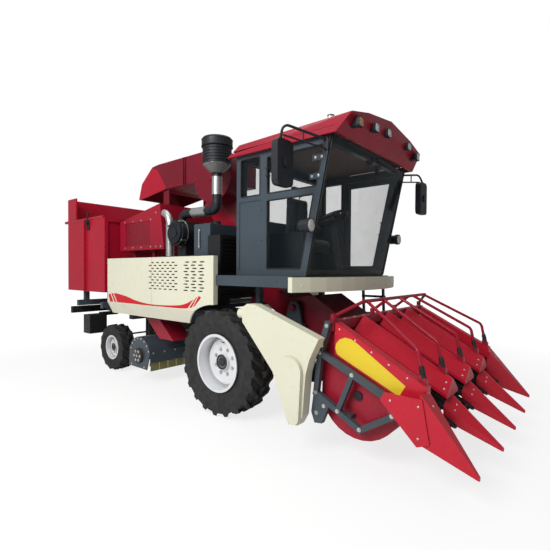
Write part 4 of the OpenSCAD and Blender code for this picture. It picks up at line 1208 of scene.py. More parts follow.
@dataclass
class Bodywork:
    """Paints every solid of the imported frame."""

    # Lighter and darker copies of the machine red by part: painted light and painted shade.
    lit_and_shaded_reds: dict[str, Finish] = field(default_factory=lambda: {
        "elevator": SHADED_RED, "discharge_duct": DEEPLY_SHADED_RED, "husker": SHADED_RED, "feeder_house": DEEPLY_SHADED_RED,
        "header_trough": SHADED_RED, "cab_roof": SHADED_RED, "crop_guard": SHADED_RED, "row_dividers": LIT_RED})

    def finish_of(self, node: str, slot: str) -> Finish:
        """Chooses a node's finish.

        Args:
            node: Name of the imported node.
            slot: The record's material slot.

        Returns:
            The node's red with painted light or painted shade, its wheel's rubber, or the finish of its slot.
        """
        if "_tyre_" in node:
            low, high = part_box(node)
            rim_low, rim_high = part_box(node.replace("tyre", "rim"))
            hub = tuple(middle(node))
            return TyreRubber(f"{node}_rubber", hub, (rim_high[2] - rim_low[2]) / 2, (high[2] - low[2]) / 2)
        return self.lit_and_shaded_reds.get(node, SLOT_FINISH[slot])

    def dress(self) -> None:
        """Gives each node its finish."""
        for part in frame["record"]["subparts"]:
            finish = self.finish_of(part["node"], part["material_slot"])
            shown = frame["nodes"][part["node"]]
            shown.data.materials.clear()
            shown.data.materials.append(SHOP.get(finish))
            LOG.info("%s painted %s", part["node"], finish.name)


@dataclass
class Wheel:
    """Bolts, hub cap and valve of one rim."""

    rim: str
    carrier: Carrier
    dish: float
    boss: float
    bolt_circle: float
    bolt: float
    cap_profile: Profile
    seal_profile: Profile
    valve: float

    def build(self) -> None:
        """Builds the wheel's small parts."""
        out = -LEFT if "right" in self.rim else LEFT
        hub = middle(self.rim)
        bolts = ring(hub + self.dish * out, self.bolt_circle, count=8, way=out, start=math.pi / 8)
        PointField(f"{self.rim}_bolts", self.carrier, bolts, radius=self.bolt, height=0.8 * self.bolt).build()
        cap = Shape()
        cap.lathe(hub + self.boss * out, out, self.cap_profile)
        cap.lathe(hub + self.boss * out, out, self.seal_profile)
        cap.piece(f"{self.rim}_cap", self.carrier, IRON, "iron")
        stem = Shape()
        root = hub + (self.dish - 0.03) * out + self.valve * UP
        stem.tube([root, root + 0.05 * out, root + 0.075 * out + 0.012 * UP], radius=0.006, sides=10)
        stem.piece(f"{self.rim}_valve", self.carrier, SEAL_RUBBER, "black_plastic")


def all_wheels() -> list[Wheel]:
    """Returns the four wheels."""
    front = {"dish": 0.035, "boss": 0.075, "bolt_circle": 0.155, "bolt": 0.016, "valve": 0.235,
             "cap_profile": ((0.0, 0.022), (0.034, 0.020), (0.050, 0.012), (0.056, 0.0), (0.056, -0.014),
                             (0.0, -0.014)),
             "seal_profile": ((0.064, 0.0005), (0.094, 0.0005), (0.092, 0.006), (0.066, 0.006))}
    rear = {"dish": 0.045, "boss": 0.075, "bolt_circle": 0.110, "bolt": 0.012, "valve": 0.140,
            "cap_profile": ((0.0, 0.018), (0.020, 0.016), (0.032, 0.008), (0.036, 0.0), (0.036, -0.004),
                            (0.0, -0.004)),
            "seal_profile": ((0.042, 0.0005), (0.070, 0.0005), (0.068, 0.005), (0.044, 0.005))}
    return [Wheel("front_rim_right", Carrier.FRONT_RIGHT, **front),
            Wheel("front_rim_left", Carrier.FRONT_LEFT, **front),
            Wheel("rear_rim_right", Carrier.REAR_RIGHT, **rear),
            Wheel("rear_rim_left", Carrier.REAR_LEFT, **rear)]


@dataclass
class Cab:
    """Seals, lenses, mirrors, hinges and inside fittings of the cab."""

    wall: float = 0.940
    floor: float = 1.700
    foot: float = 1.160
    slope: float = 0.300 / 1.430
    seal: float = 0.008
    lamp_face: float = 1.712
    lamp_spots: Profile = ((-0.790, 3.225), (-0.430, 3.270), (-0.120, 3.295), (0.470, 3.290),
                                      (0.760, 3.230))
    stalk_lamp: Point = (1.332, 1.090, 2.210)
    beacon: Point = (1.150, -0.450, 3.452)
    mirror_centre: Point2 = (1.338, 2.794)
    mirror_places: Profile = ((-1.0, 1.170), (1.0, 1.560))
    pane_half: float = 0.922
    pane_low: float = 1.712
    pane_high: float = 3.118
    bow_rise: float = 0.041
    bow_half: float = 0.928
    face_off: float = 0.0105
    low_pane: Profile = ((0.620, 1.780), (1.090, 1.780), (1.251, 2.549), (0.620, 2.549))
    high_pane: Profile = ((0.620, 2.630), (1.285, 2.630), (1.371, 3.040), (0.620, 3.040))
    rear_pane: Profile = ((0.204, 2.630), (0.510, 2.630), (0.510, 3.070), (0.204, 3.070))
    back_pane: Profile = ((-0.81, 2.40), (0.81, 2.40), (0.81, 3.07), (-0.81, 3.07))
    back_face: float = 0.133
    door_pane: Profile = ((0.642, 1.826), (1.022, 1.826), (1.265, 2.984), (0.642, 2.984))
    door_grip: tuple[Point, ...] = ((1.085, 0.955, 2.28), (1.085, 0.992, 2.28), (1.115, 0.992, 2.45),
                                    (1.115, 0.955, 2.45))
    hinge_spots: Profile = ((1.238, 2.731), (1.318, 2.731), (1.280, 2.916), (1.356, 2.916))
    knob_x: float = 0.634
    knob_heights: Point2 = (2.907, 2.832)
    knob_profile: Profile = ((0.0, 0.030), (0.015, 0.029), (0.020, 0.022), (0.018, 0.010),
                                        (0.011, 0.006), (0.011, -0.030), (0.0, -0.030))
    beacon_profile: Profile = ((0.0, 0.0), (0.0445, 0.0), (0.0455, 0.05), (0.040, 0.072),
                                          (0.022, 0.085), (0.0, 0.088))
    shell_profile: Profile = ((0.0, -0.030), (0.030, -0.026), (0.052, -0.012), (0.061, 0.004),
                                         (0.061, 0.02), (0.0, 0.02))
    knob_sides: int = 18
    panel_columns: Row = (0.165, 0.538)
    panel_rows: Row = (1.76, 2.10, 2.45)
    lens_size: Point = (0.084, 0.080, 0.022)
    stalk_lens: float = 0.062
    stalk_rim: float = 0.0665
    shell_back: float = 0.12
    mirror_back: float = 0.029
    mirror_frame: Point = (0.236, 0.438, 0.05)
    mirror_thick: float = 0.021
    mirror_pane: Point = (0.212, 0.414, 0.045)
    lining_place: Point = (0.83, 0.0, 3.178)
    lining_size: Point = (1.30, 1.86, 0.12)
    lining_thick: float = 0.008
    motor_profile: Profile = ((0.0, 0.03), (0.028, 0.026), (0.030, -0.03), (0.0, -0.04))
    wiper_arm: tuple[Point, ...] = ((-0.02, 3.075, 0.006), (-0.02, 3.06, 0.03), (0.46, 3.045, 0.022))
    blade_ends: Profile = ((0.10, 3.052), (0.66, 3.040))
    blade_steps: int = 8
    blade_off: float = 0.010
    fan_hub: Point = (1.20, 0.66, 3.05)
    fan_rings: Row = (0.045, 0.062, 0.080)
    fan_hang: float = 0.13
    roof_lamp_x: float = 1.385
    roof_lamp_z: float = 3.10
    roof_lamp_profiles: tuple[tuple[float, Profile], ...] = (
        (0.05, ((0.0, 0.07), (0.03, 0.065), (0.042, 0.04), (0.042, -0.01), (0.0, -0.01))),
        (0.30, ((0.0, 0.06), (0.03, 0.055), (0.040, 0.035), (0.040, -0.01), (0.0, -0.01))))

    def windscreen(self, y: float, z: float, off: float = 0.0) -> Vector:
        """Finds a point on the bowed windscreen's outer face.

        Args:
            y: Metres to the left.
            z: Height.
            off: Distance ahead of the glass.

        Returns:
            The point.
        """
        bow = self.bow_rise * (1 - (y / self.bow_half) ** 2)
        return at(self.foot + self.face_off + self.slope * (z - self.floor) + bow + off, y, z)

    def seals(self) -> None:
        """Lays the rubber round the panes."""
        rubber = Shape()
        for outline, side in ((self.low_pane, -1.0), (self.high_pane, -1.0), (self.rear_pane, -1.0),
                              (self.rear_pane, 1.0)):
            corners = [at(x, side * (self.wall - 0.001), z) for x, z in outline]
            loop = rounded(corners, radius=0.018, steps=4, closed=True)
            rubber.tube(loop, self.seal, sides=8, closed=True)
        back = [at(self.back_face, y, z) for y, z in self.back_pane]
        rubber.tube(rounded(back, radius=0.03, steps=4, closed=True), self.seal, sides=8, closed=True)
        steps = [step / 12 for step in range(13)]
        bottom = [self.windscreen(self.pane_half * (2 * t - 1), self.pane_low) for t in steps]
        head = [self.windscreen(self.pane_half * (1 - 2 * t), self.pane_high) for t in steps]
        rubber.tube(bottom + head, radius=0.009, sides=8, closed=True)
        rubber.piece("window_seals", Carrier.CHASSIS, SEAL_RUBBER, "black_plastic")
        door = Shape()
        corners = [at(x, self.wall + 0.003, z) for x, z in self.door_pane]
        loop = rounded(corners, radius=0.02, steps=4, closed=True)
        door.tube(loop, self.seal, sides=8, closed=True)
        grip = rounded([at(*corner) for corner in self.door_grip], radius=0.02)
        door.tube(grip, radius=0.009, sides=10)
        door.piece("door_seal", Carrier.DOOR, SEAL_RUBBER, "black_plastic")

    def hinges(self) -> None:
        """Sets the bolts and knobs of the tilting side window."""
        skin = Skin("cab_frame")
        spots = skin.spots([at(x, -OUTSIDE, z) for x, z in self.hinge_spots], LEFT)
        PointField("window_hinge_bolts", Carrier.CHASSIS, spots, radius=0.017, height=0.011,
                   head=Head.DOME).build()
        knobs = Shape()
        for z in self.knob_heights:
            knobs.lathe(at(self.knob_x, -self.wall, z), -LEFT, self.knob_profile, self.knob_sides)
        knobs.piece("window_knobs", Carrier.CHASSIS, BLACK_PLASTIC, "black_plastic")
        starts = [at(x, -OUTSIDE, z) for x in self.panel_columns for z in self.panel_rows]
        PointField("cab_panel_bolts", Carrier.CHASSIS, skin.spots(starts, LEFT), radius=0.008, height=0.004,
                   head=Head.DOME, finish=BLACK, slot="black").build()

    def lamps(self) -> None:
        """Puts lenses on the roof lamps, stalk lamps and beacon."""
        white, amber = Shape(), Shape()
        for index, (y, z) in enumerate(self.lamp_spots):
            outline = soft_square(at(self.lamp_face - 0.002, y, z), LEFT, UP, *self.lens_size)
            (white if index else amber).pillow(outline, AHEAD, thick=0.004, bulge=0.009)
        x, y, z = self.stalk_lamp
        for side in SIDES:
            outline = circle(at(x - 0.002, side * y, z), AHEAD, self.stalk_lens, count=28)
            white.pillow(outline, AHEAD, thick=0.004, bulge=0.014)
        white.lathe(at(*self.beacon), UP, self.beacon_profile)
        white.piece("lamp_lenses", Carrier.CHASSIS, WHITE_LENS, "glass")
        amber.piece("amber_lens", Carrier.CHASSIS, AMBER_LENS, "glass")
        stalks = Shape()
        for side in SIDES:
            centre = at(x - self.shell_back, side * y, z)
            stalks.lathe(centre, AHEAD, self.shell_profile)
            rim = circle(at(x - 0.001, side * y, z), AHEAD, self.stalk_rim, count=32)
            stalks.tube(rim, radius=0.005, sides=8, closed=True)
        stalks.piece("stalk_lamp_shells", Carrier.CHASSIS, BLACK_PLASTIC, "black_plastic")

    def mirrors(self) -> None:
        """Puts the glass and its frame on the back of each mirror head."""
        frames, panes = Shape(), Shape()
        y, z = self.mirror_centre
        for side, x in self.mirror_places:
            centre = at(x - self.mirror_back, side * y, z)
            rim = soft_square(centre, LEFT, UP, *self.mirror_frame)
            frames.prism(rim, -self.mirror_thick * AHEAD, bevel=0.004)
            pane = soft_square(centre - (self.mirror_thick - 0.001) * AHEAD, LEFT, UP, *self.mirror_pane)
            panes.pillow(pane, -AHEAD, thick=0.002, bulge=0.003)
        frames.piece("mirror_frames", Carrier.CHASSIS, BLACK_PLASTIC, "black_plastic")
        panes.piece("mirror_glass", Carrier.CHASSIS, MIRROR, "bright_steel")

    def inside(self) -> None:
        """Adds the lining, a small fan, the wiper and two roof lamps."""
        lining = Shape()
        board = soft_square(at(*self.lining_place), AHEAD, LEFT, *self.lining_size)
        lining.prism(board, self.lining_thick * UP, bevel=0.003)
        lining.piece("roof_lining", Carrier.CHASSIS, LINING, "black_plastic")
        fan = Shape()
        hub = at(*self.fan_hub)
        fan.tube([hub, hub + self.fan_hang * UP], radius=0.012, sides=10)
        fan.lathe(hub, -AHEAD, self.motor_profile, sides=20)
        for radius in self.fan_rings:
            fan.tube(circle(hub, AHEAD, radius, count=28), radius=0.0035, sides=6, closed=True)
        for rim, _ in ring(hub, self.fan_rings[-1], count=6, way=AHEAD):
            fan.tube([hub, rim], radius=0.003, sides=6)
        arm = rounded([self.windscreen(*corner) for corner in self.wiper_arm], radius=0.02)
        fan.tube(arm, radius=0.007, sides=8)
        (y0, z0), (y1, z1) = self.blade_ends
        shares = [step / self.blade_steps for step in range(self.blade_steps + 1)]
        blade = [self.windscreen(y0 + (y1 - y0) * t, z0 + (z1 - z0) * t, self.blade_off) for t in shares]
        fan.tube(blade, radius=0.006, sides=8)
        for y, profile in self.roof_lamp_profiles:
            fan.lathe(at(self.roof_lamp_x, y, self.roof_lamp_z), -UP, profile)
        fan.piece("cab_fan_and_wiper", Carrier.CHASSIS, BLACK_PLASTIC, "black_plastic")

    def build(self) -> None:
        """Builds all the cab's small parts."""
        self.seals()
        self.hinges()
        self.lamps()
        self.mirrors()
        self.inside()


@dataclass
class Cushion:
    """One stuffed seat part, swollen by a short cloth simulation."""

    name: str
    low: Point
    high: Point
    channels: tuple[float, ...]
    out: Vector
    taper: float = 1.0
    corner: float = 0.035
    voxel: float = 0.006
    swell: float = 0.014
    frames: int = 20
    inset_share: float = 0.4
    quality: int = 4
    pressure: float = 4.0
    groove_width: float = 0.008
    groove_depth: float = 0.010
    crown_rise: float = 0.012

    def blank(self) -> bpy.types.Mesh:
        """Makes the slightly smaller stuffed shape before it swells.

        Returns:
            Its mesh, remeshed into even quads.
        """
        inset = self.inset_share * self.swell
        bm = bmesh.new()
        bmesh.ops.create_cube(bm, size=1.0)
        low, high = Vector(self.low), Vector(self.high)
        for corner in bm.verts:
            share = corner.co.z + 0.5
            spot = Vector(a + inset + (b - a - 2 * inset) * (c + 0.5)
                          for a, b, c in zip(low, high, corner.co))
            spot.y *= 1 + (self.taper - 1) * share
            corner.co = at(*spot)
        bmesh.ops.bevel(bm, geom=bm.edges[:], offset=self.corner, segments=4, profile=0.5, affect="EDGES")
        bmesh.ops.recalc_face_normals(bm, faces=bm.faces)
        rough = bpy.data.meshes.new(f"{self.name}_blank")
        bm.to_mesh(rough)
        bm.free()
        holder = bpy.data.objects.new(f"{self.name}_blank", rough)
        bpy.context.scene.collection.objects.link(holder)
        even = holder.modifiers.new("even", "REMESH")
        even.mode = "VOXEL"
        even.voxel_size = self.voxel
        mesh = bpy.data.meshes.new_from_object(holder.evaluated_get(bpy.context.evaluated_depsgraph_get()))
        bpy.data.objects.remove(holder)
        return mesh

    def puffed(self, mesh: bpy.types.Mesh) -> None:
        """Swells the mesh under pressure and caps how far each point moved.

        Args:
            mesh: The blank, changed in place.
        """
        holder = bpy.data.objects.new(f"{self.name}_swell", mesh.copy())
        bpy.context.scene.collection.objects.link(holder)
        cloth = holder.modifiers.new("swell", "CLOTH")
        cloth.settings.quality = self.quality
        cloth.settings.use_pressure = True
        cloth.settings.uniform_pressure_force = self.pressure
        cloth.settings.effector_weights.gravity = 0.0
        cloth.collision_settings.use_collision = False
        cloth.point_cache.frame_start = 1
        cloth.point_cache.frame_end = self.frames
        scene = bpy.context.scene
        for step in range(1, self.frames + 1):
            scene.frame_set(step)
        moved = holder.evaluated_get(bpy.context.evaluated_depsgraph_get()).to_mesh()
        for corner, swollen in zip(mesh.vertices, moved.vertices):
            way = swollen.co - corner.co
            corner.co += way * min(1.0, self.swell / max(way.length, 1e-9))
        bpy.data.objects.remove(holder)
        scene.frame_set(1)

    def sewn(self, mesh: bpy.types.Mesh) -> None:
        """Presses the sewn channels and the crown into the face that shows.

        Args:
            mesh: The swollen mesh, changed in place.
        """
        low, high = Vector(self.low), Vector(self.high)
        half = (high - low) / 2
        heart = at(*((low + high) / 2))
        rise = abs(half.dot(self.out))
        for corner in mesh.vertices:
            place = corner.co - heart
            face = max(0.0, place.dot(self.out) / rise)
            groove = sum(math.exp(-((place.y - y) / self.groove_width) ** 2) for y in self.channels)
            crown = max(0.0, 1 - (place.y / half.y) ** 2)
            corner.co += self.out * face * face * (self.crown_rise * crown - self.groove_depth * groove)

    def build(self) -> bpy.types.Object:
        """Builds the cushion as a padded piece.

        Returns:
            The piece, which stands for the seat's solid.
        """
        mesh = self.blank()
        self.puffed(mesh)
        self.sewn(mesh)
        mesh.name = self.name
        mesh.materials.clear()
        mesh.materials.append(SHOP.get(SEAT))
        mesh.shade_smooth()
        piece = finish_piece(self.name, mesh, Carrier.CHASSIS)
        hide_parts("driver_seat")
        return piece


@dataclass
class DriverSeat:
    """Suspension seat: bellows, pan and three cushions."""

    floor: float = 1.7305
    waves: int = 7
    bellows_x: float = 0.48
    crest: Point = (0.160, 0.300, 0.03)
    dip: Point = (0.136, 0.276, 0.03)
    pan_place: Point = (0.53, 0.0, 2.000)
    pan_size: Point = (0.42, 0.44, 0.05)
    pan_thick: float = 0.034
    post_y: float = 0.06
    post_ends: Profile = ((0.342, 2.70), (0.340, 2.80))

    def stand(self) -> None:
        """Builds the bellows, the pan and the head rest's posts."""
        stand = Shape()
        folds = 2 * self.waves
        step = (self.pan_place[2] - self.floor) / folds
        part = bmesh.new()
        loops = []
        for fold in range(folds + 1):
            size = self.crest if fold % 2 else self.dip
            outline = soft_square(at(self.bellows_x, 0.0, self.floor + step * fold), AHEAD, LEFT, *size)
            loops.append([part.verts.new(point) for point in outline])
        for a, b in zip(loops, loops[1:]):
            for k in range(len(a)):
                part.faces.new((a[k], a[(k + 1) % len(a)], b[(k + 1) % len(b)], b[k]))
        part.faces.new(loops[0][::-1])
        part.faces.new(loops[-1])
        stand.take(part)
        pan = soft_square(at(*self.pan_place), AHEAD, LEFT, *self.pan_size)
        stand.prism(pan, self.pan_thick * UP, bevel=0.006)
        for side in SIDES:
            stand.tube([at(x, side * self.post_y, z) for x, z in self.post_ends], radius=0.006, sides=10)
        piece = stand.piece("seat_stand", Carrier.CHASSIS, BLACK_PLASTIC, "black_plastic", crease=50.0)
        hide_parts("driver_seat")

    def build(self) -> None:
        """Builds the whole seat."""
        self.stand()
        Cushion("seat_cushion", low=(0.30, -0.24, 2.034), high=(0.76, 0.24, 2.145), channels=(-0.085, 0.085),
                out=UP).build()
        Cushion("seat_back", low=(0.292, -0.23, 2.155), high=(0.398, 0.23, 2.745), channels=(-0.080, 0.080),
                out=AHEAD, taper=0.87).build()
        Cushion("seat_headrest", low=(0.302, -0.12, 2.762), high=(0.378, 0.12, 2.898), channels=(), out=AHEAD,
                taper=0.92, corner=0.028).build()


@dataclass
class SideCovers:
    """The swept stripe and fasteners on the two cream covers."""

    face: float = 1.190
    thick: float = 0.0010
    slash_thick: float = 0.0004
    upper: Profile = ((-2.490, 1.368), (-2.350, 1.392), (-2.190, 1.388), (-1.944, 1.358), (-1.700, 1.312),
                      (-1.437, 1.284), (-1.137, 1.278), (-0.736, 1.296), (-0.549, 1.324), (-0.415, 1.372),
                      (-0.268, 1.440))
    lower: Profile = ((-0.222, 1.425), (-0.300, 1.350), (-0.371, 1.300), (-0.549, 1.268), (-0.982, 1.260),
                      (-1.437, 1.257), (-1.945, 1.258), (-2.440, 1.256))
    slashes: tuple[tuple[Point2, Point2, float], ...] = (
        ((-2.430, 1.392), (-2.330, 1.250), 0.030), ((-2.350, 1.396), (-2.240, 1.250), 0.024),
        ((-0.500, 1.255), (-0.340, 1.420), 0.022), ((-0.420, 1.262), (-0.290, 1.432), 0.016))
    screw_columns: Row = (-2.48, -1.32, -1.24, -0.05)
    screw_rows: Row = (1.29, 1.60, 1.89)
    top_screws: Row = (-2.09, -1.70, -0.65)

    def build(self) -> None:
        """Builds the stripe and the fasteners on both covers."""
        stripe, slash = Shape(), Shape()
        outline = flowing(self.upper) + flowing(self.lower)
        for side in SIDES:
            stripe.prism([at(x, side * self.face, z) for x, z in outline], side * self.thick * LEFT)
            front = side * (self.face + self.thick)
            for (x0, z0), (x1, z1), wide in self.slashes:
                corners = ((x0, z0), (x0 + wide, z0), (x1 + wide, z1), (x1, z1))
                slash.prism([at(x, front, z) for x, z in corners], self.slash_thick * side * LEFT)
        stripe.piece("cover_stripe", Carrier.CHASSIS, STRIPE_RED, "red")
        slash.piece("cover_stripe_slashes", Carrier.CHASSIS, CREAM, "cream")
        spots = []
        for side, node in ((-1.0, "side_cover_right"), (1.0, "side_cover_left")):
            starts = [at(x, OUTSIDE * side, z) for x in self.screw_columns for z in self.screw_rows]
            starts += [at(x, OUTSIDE * side, self.screw_rows[-1]) for x in self.top_screws]
            spots += Skin(node).spots(starts, -side * LEFT)
        PointField("cover_screws", Carrier.CHASSIS, spots, radius=0.009, height=0.004, head=Head.DOME,
                   finish=CREAM, slot="cream").build()


@dataclass
class EngineBay:
    """Sleeves, clamps, bowl and caps of the intake and oil tank."""

    stack: Point2 = (-0.430, -0.750)
    stand_z: float = 2.78
    stand_length: float = 0.210
    cross_x: float = -0.905
    cross_z: float = 2.570
    cross_length: float = 0.270
    sleeve_inner: float = 0.0660
    sleeve_outer: float = 0.0690
    sleeve_lip: float = 0.004
    clamp_profile: Profile = ((0.0665, 0.0), (0.0720, 0.001), (0.0720, 0.017), (0.0665, 0.018))
    clamp_over: float = 0.014
    clamp_screw: Point = (0.016, 0.034, 0.003)
    clamp_screw_out: float = 0.078
    bowl_z: float = 3.050
    bowl_profile: Profile = ((0.083, 0.001), (0.100, 0.012), (0.176, 0.090), (0.190, 0.104), (0.190, 0.112),
                             (0.1865, 0.112), (0.172, 0.094), (0.0835, 0.005))
    beads: Profile = ((0.2065, 3.398), (0.2050, 3.488))
    bead: float = 0.005
    cap_screw_z: float = 3.534
    cap_screw_profile: Profile = ((0.0, 0.012), (0.010, 0.011), (0.014, 0.0), (0.0, 0.0))
    drum: Point = (-1.060, -0.985, 2.280)
    end_rings: Row = (0.092, 0.118, 0.142)
    rib: Point = (0.060, 0.010, 0.002)
    rib_circle: float = 0.108
    ribs: int = 12
    clip: Point = (0.090, 0.026, 0.004)
    clip_circle: float = 0.184
    clip_turn: float = 0.6
    clip_depth: float = 0.05
    seams: Row = (0.105, 0.515)
    seam_circle: float = 0.1885
    gauge: Point2 = (-0.505, -0.994)
    gauge_ends: Point2 = (2.070, 2.270)
    gauge_bolt_y: float = -0.992
    gauge_bolts: Point2 = (2.060, 2.280)
    tank_cap: Point = (-0.460, -0.730, 2.400)
    tank_cap_profile: Profile = ((0.0, 0.022), (0.040, 0.022), (0.050, 0.016), (0.060, 0.012),
                                 (0.060, -0.012), (0.0, -0.012))
    cap_grips: int = 18
    cap_grip_circle: float = 0.059
    lid_columns: Row = (-0.595, -0.325)
    lid_rows: Row = (-0.955, -0.73, -0.505)

    def sleeves(self) -> None:
        """Slides the steel sleeves over the hose and clamps them."""
        steel, clamps = Shape(), Shape()
        stand = at(*self.stack, self.stand_z)
        cross = at(self.cross_x, self.stack[1], self.cross_z)
        for start, axis, length in ((stand, UP, self.stand_length), (cross, AHEAD, self.cross_length)):
            steel.lathe(start, axis, ((self.sleeve_inner, 0.0), (self.sleeve_outer, self.sleeve_lip),
                                      (self.sleeve_outer, length - self.sleeve_lip),
                                      (self.sleeve_inner, length)))
            for along in (-self.clamp_over, length - self.sleeve_lip):
                clamps.lathe(start + along * axis, axis, self.clamp_profile)
                screw = start + (along + 0.009) * axis - self.clamp_screw_out * LEFT
                block = soft_square(screw, axis, square_to(axis)[1], *self.clamp_screw)
                clamps.prism(block, 0.014 * LEFT, bevel=0.002)
        steel.piece("intake_sleeves", Carrier.CHASSIS, PIPE, "pipe_steel")
        clamps.piece("intake_clamps", Carrier.CHASSIS, ZINC, "bright_steel")

    def bowl(self) -> None:
        """Puts the clear dust bowl under the pre-cleaner, and beads and a screw on its cap."""
        bowl = Shape()
        bowl.lathe(at(*self.stack, self.bowl_z), UP, self.bowl_profile, sides=40)
        bowl.piece("dust_bowl", Carrier.CHASSIS, BOWL, "glass")
        rain = Shape()
        for radius, z in self.beads:
            rain.tube(circle(at(*self.stack, z), UP, radius, count=40), self.bead, sides=8, closed=True)
        rain.lathe(at(*self.stack, self.cap_screw_z), UP, self.cap_screw_profile, sides=12)
        rain.piece("precleaner_beads", Carrier.CHASSIS, BLACK_PLASTIC, "black_plastic")

    def filter_end(self) -> None:
        """Adds the rings, ribs and clips of the filter drum's end."""
        end = Shape()
        centre = at(*self.drum)
        for radius in self.end_rings:
            end.tube(circle(centre, LEFT, radius, count=40), radius=0.004, sides=8, closed=True)
        for place, _ in ring(centre, self.rib_circle, self.ribs, LEFT):
            way = (place - centre).normalized()
            end.prism(soft_square(place, way, way.cross(LEFT), *self.rib), -0.006 * LEFT)
        end.piece("filter_end_ribs", Carrier.CHASSIS, BLACK_PLASTIC, "black_plastic")
        clips = Shape()
        behind = centre + self.clip_depth * LEFT
        for place, _ in ring(behind, self.clip_circle, count=4, way=LEFT, start=self.clip_turn):
            way = (place - behind).normalized()
            clips.prism(soft_square(place, LEFT, way.cross(LEFT), *self.clip), 0.010 * way, bevel=0.002)
        for along in self.seams:
            seam = circle(centre + along * LEFT, LEFT, self.seam_circle, count=48)
            clips.tube(seam, radius=0.003, sides=6, closed=True)
        clips.piece("filter_clips", Carrier.CHASSIS, ZINC, "bright_steel")

    def tank(self) -> None:
        """Adds the gauge tube, cap and bolts of the oil tank."""
        tube = Shape()
        tube.tube([at(*self.gauge, z) for z in self.gauge_ends], radius=0.0065, sides=10)
        tube.piece("tank_gauge", Carrier.CHASSIS, WHITE_LENS, "glass")
        ends = [(at(self.gauge[0], self.gauge_bolt_y, z), -LEFT) for z in self.gauge_bolts]
        PointField("tank_gauge_bolts", Carrier.CHASSIS, ends, radius=0.012, height=0.008).build()
        cap = Shape()
        cap.lathe(at(*self.tank_cap), UP, self.tank_cap_profile)
        for place, _ in ring(at(*self.tank_cap) + 0.006 * UP, self.cap_grip_circle, self.cap_grips, UP):
            cap.tube([place - 0.010 * UP, place + 0.006 * UP], radius=0.004, sides=6)
        cap.piece("tank_cap", Carrier.CHASSIS, BLACK_PLASTIC, "black_plastic")
        starts = [at(x, y, OUTSIDE) for x in self.lid_columns for y in self.lid_rows]
        lid = Skin("oil_tank").spots(starts, -UP)
        PointField("tank_lid_bolts", Carrier.CHASSIS, lid, radius=0.009, height=0.006).build()

    def build(self) -> None:
        """Builds all the engine bay's small parts."""
        self.sleeves()
        self.bowl()
        self.filter_end()
        self.tank()


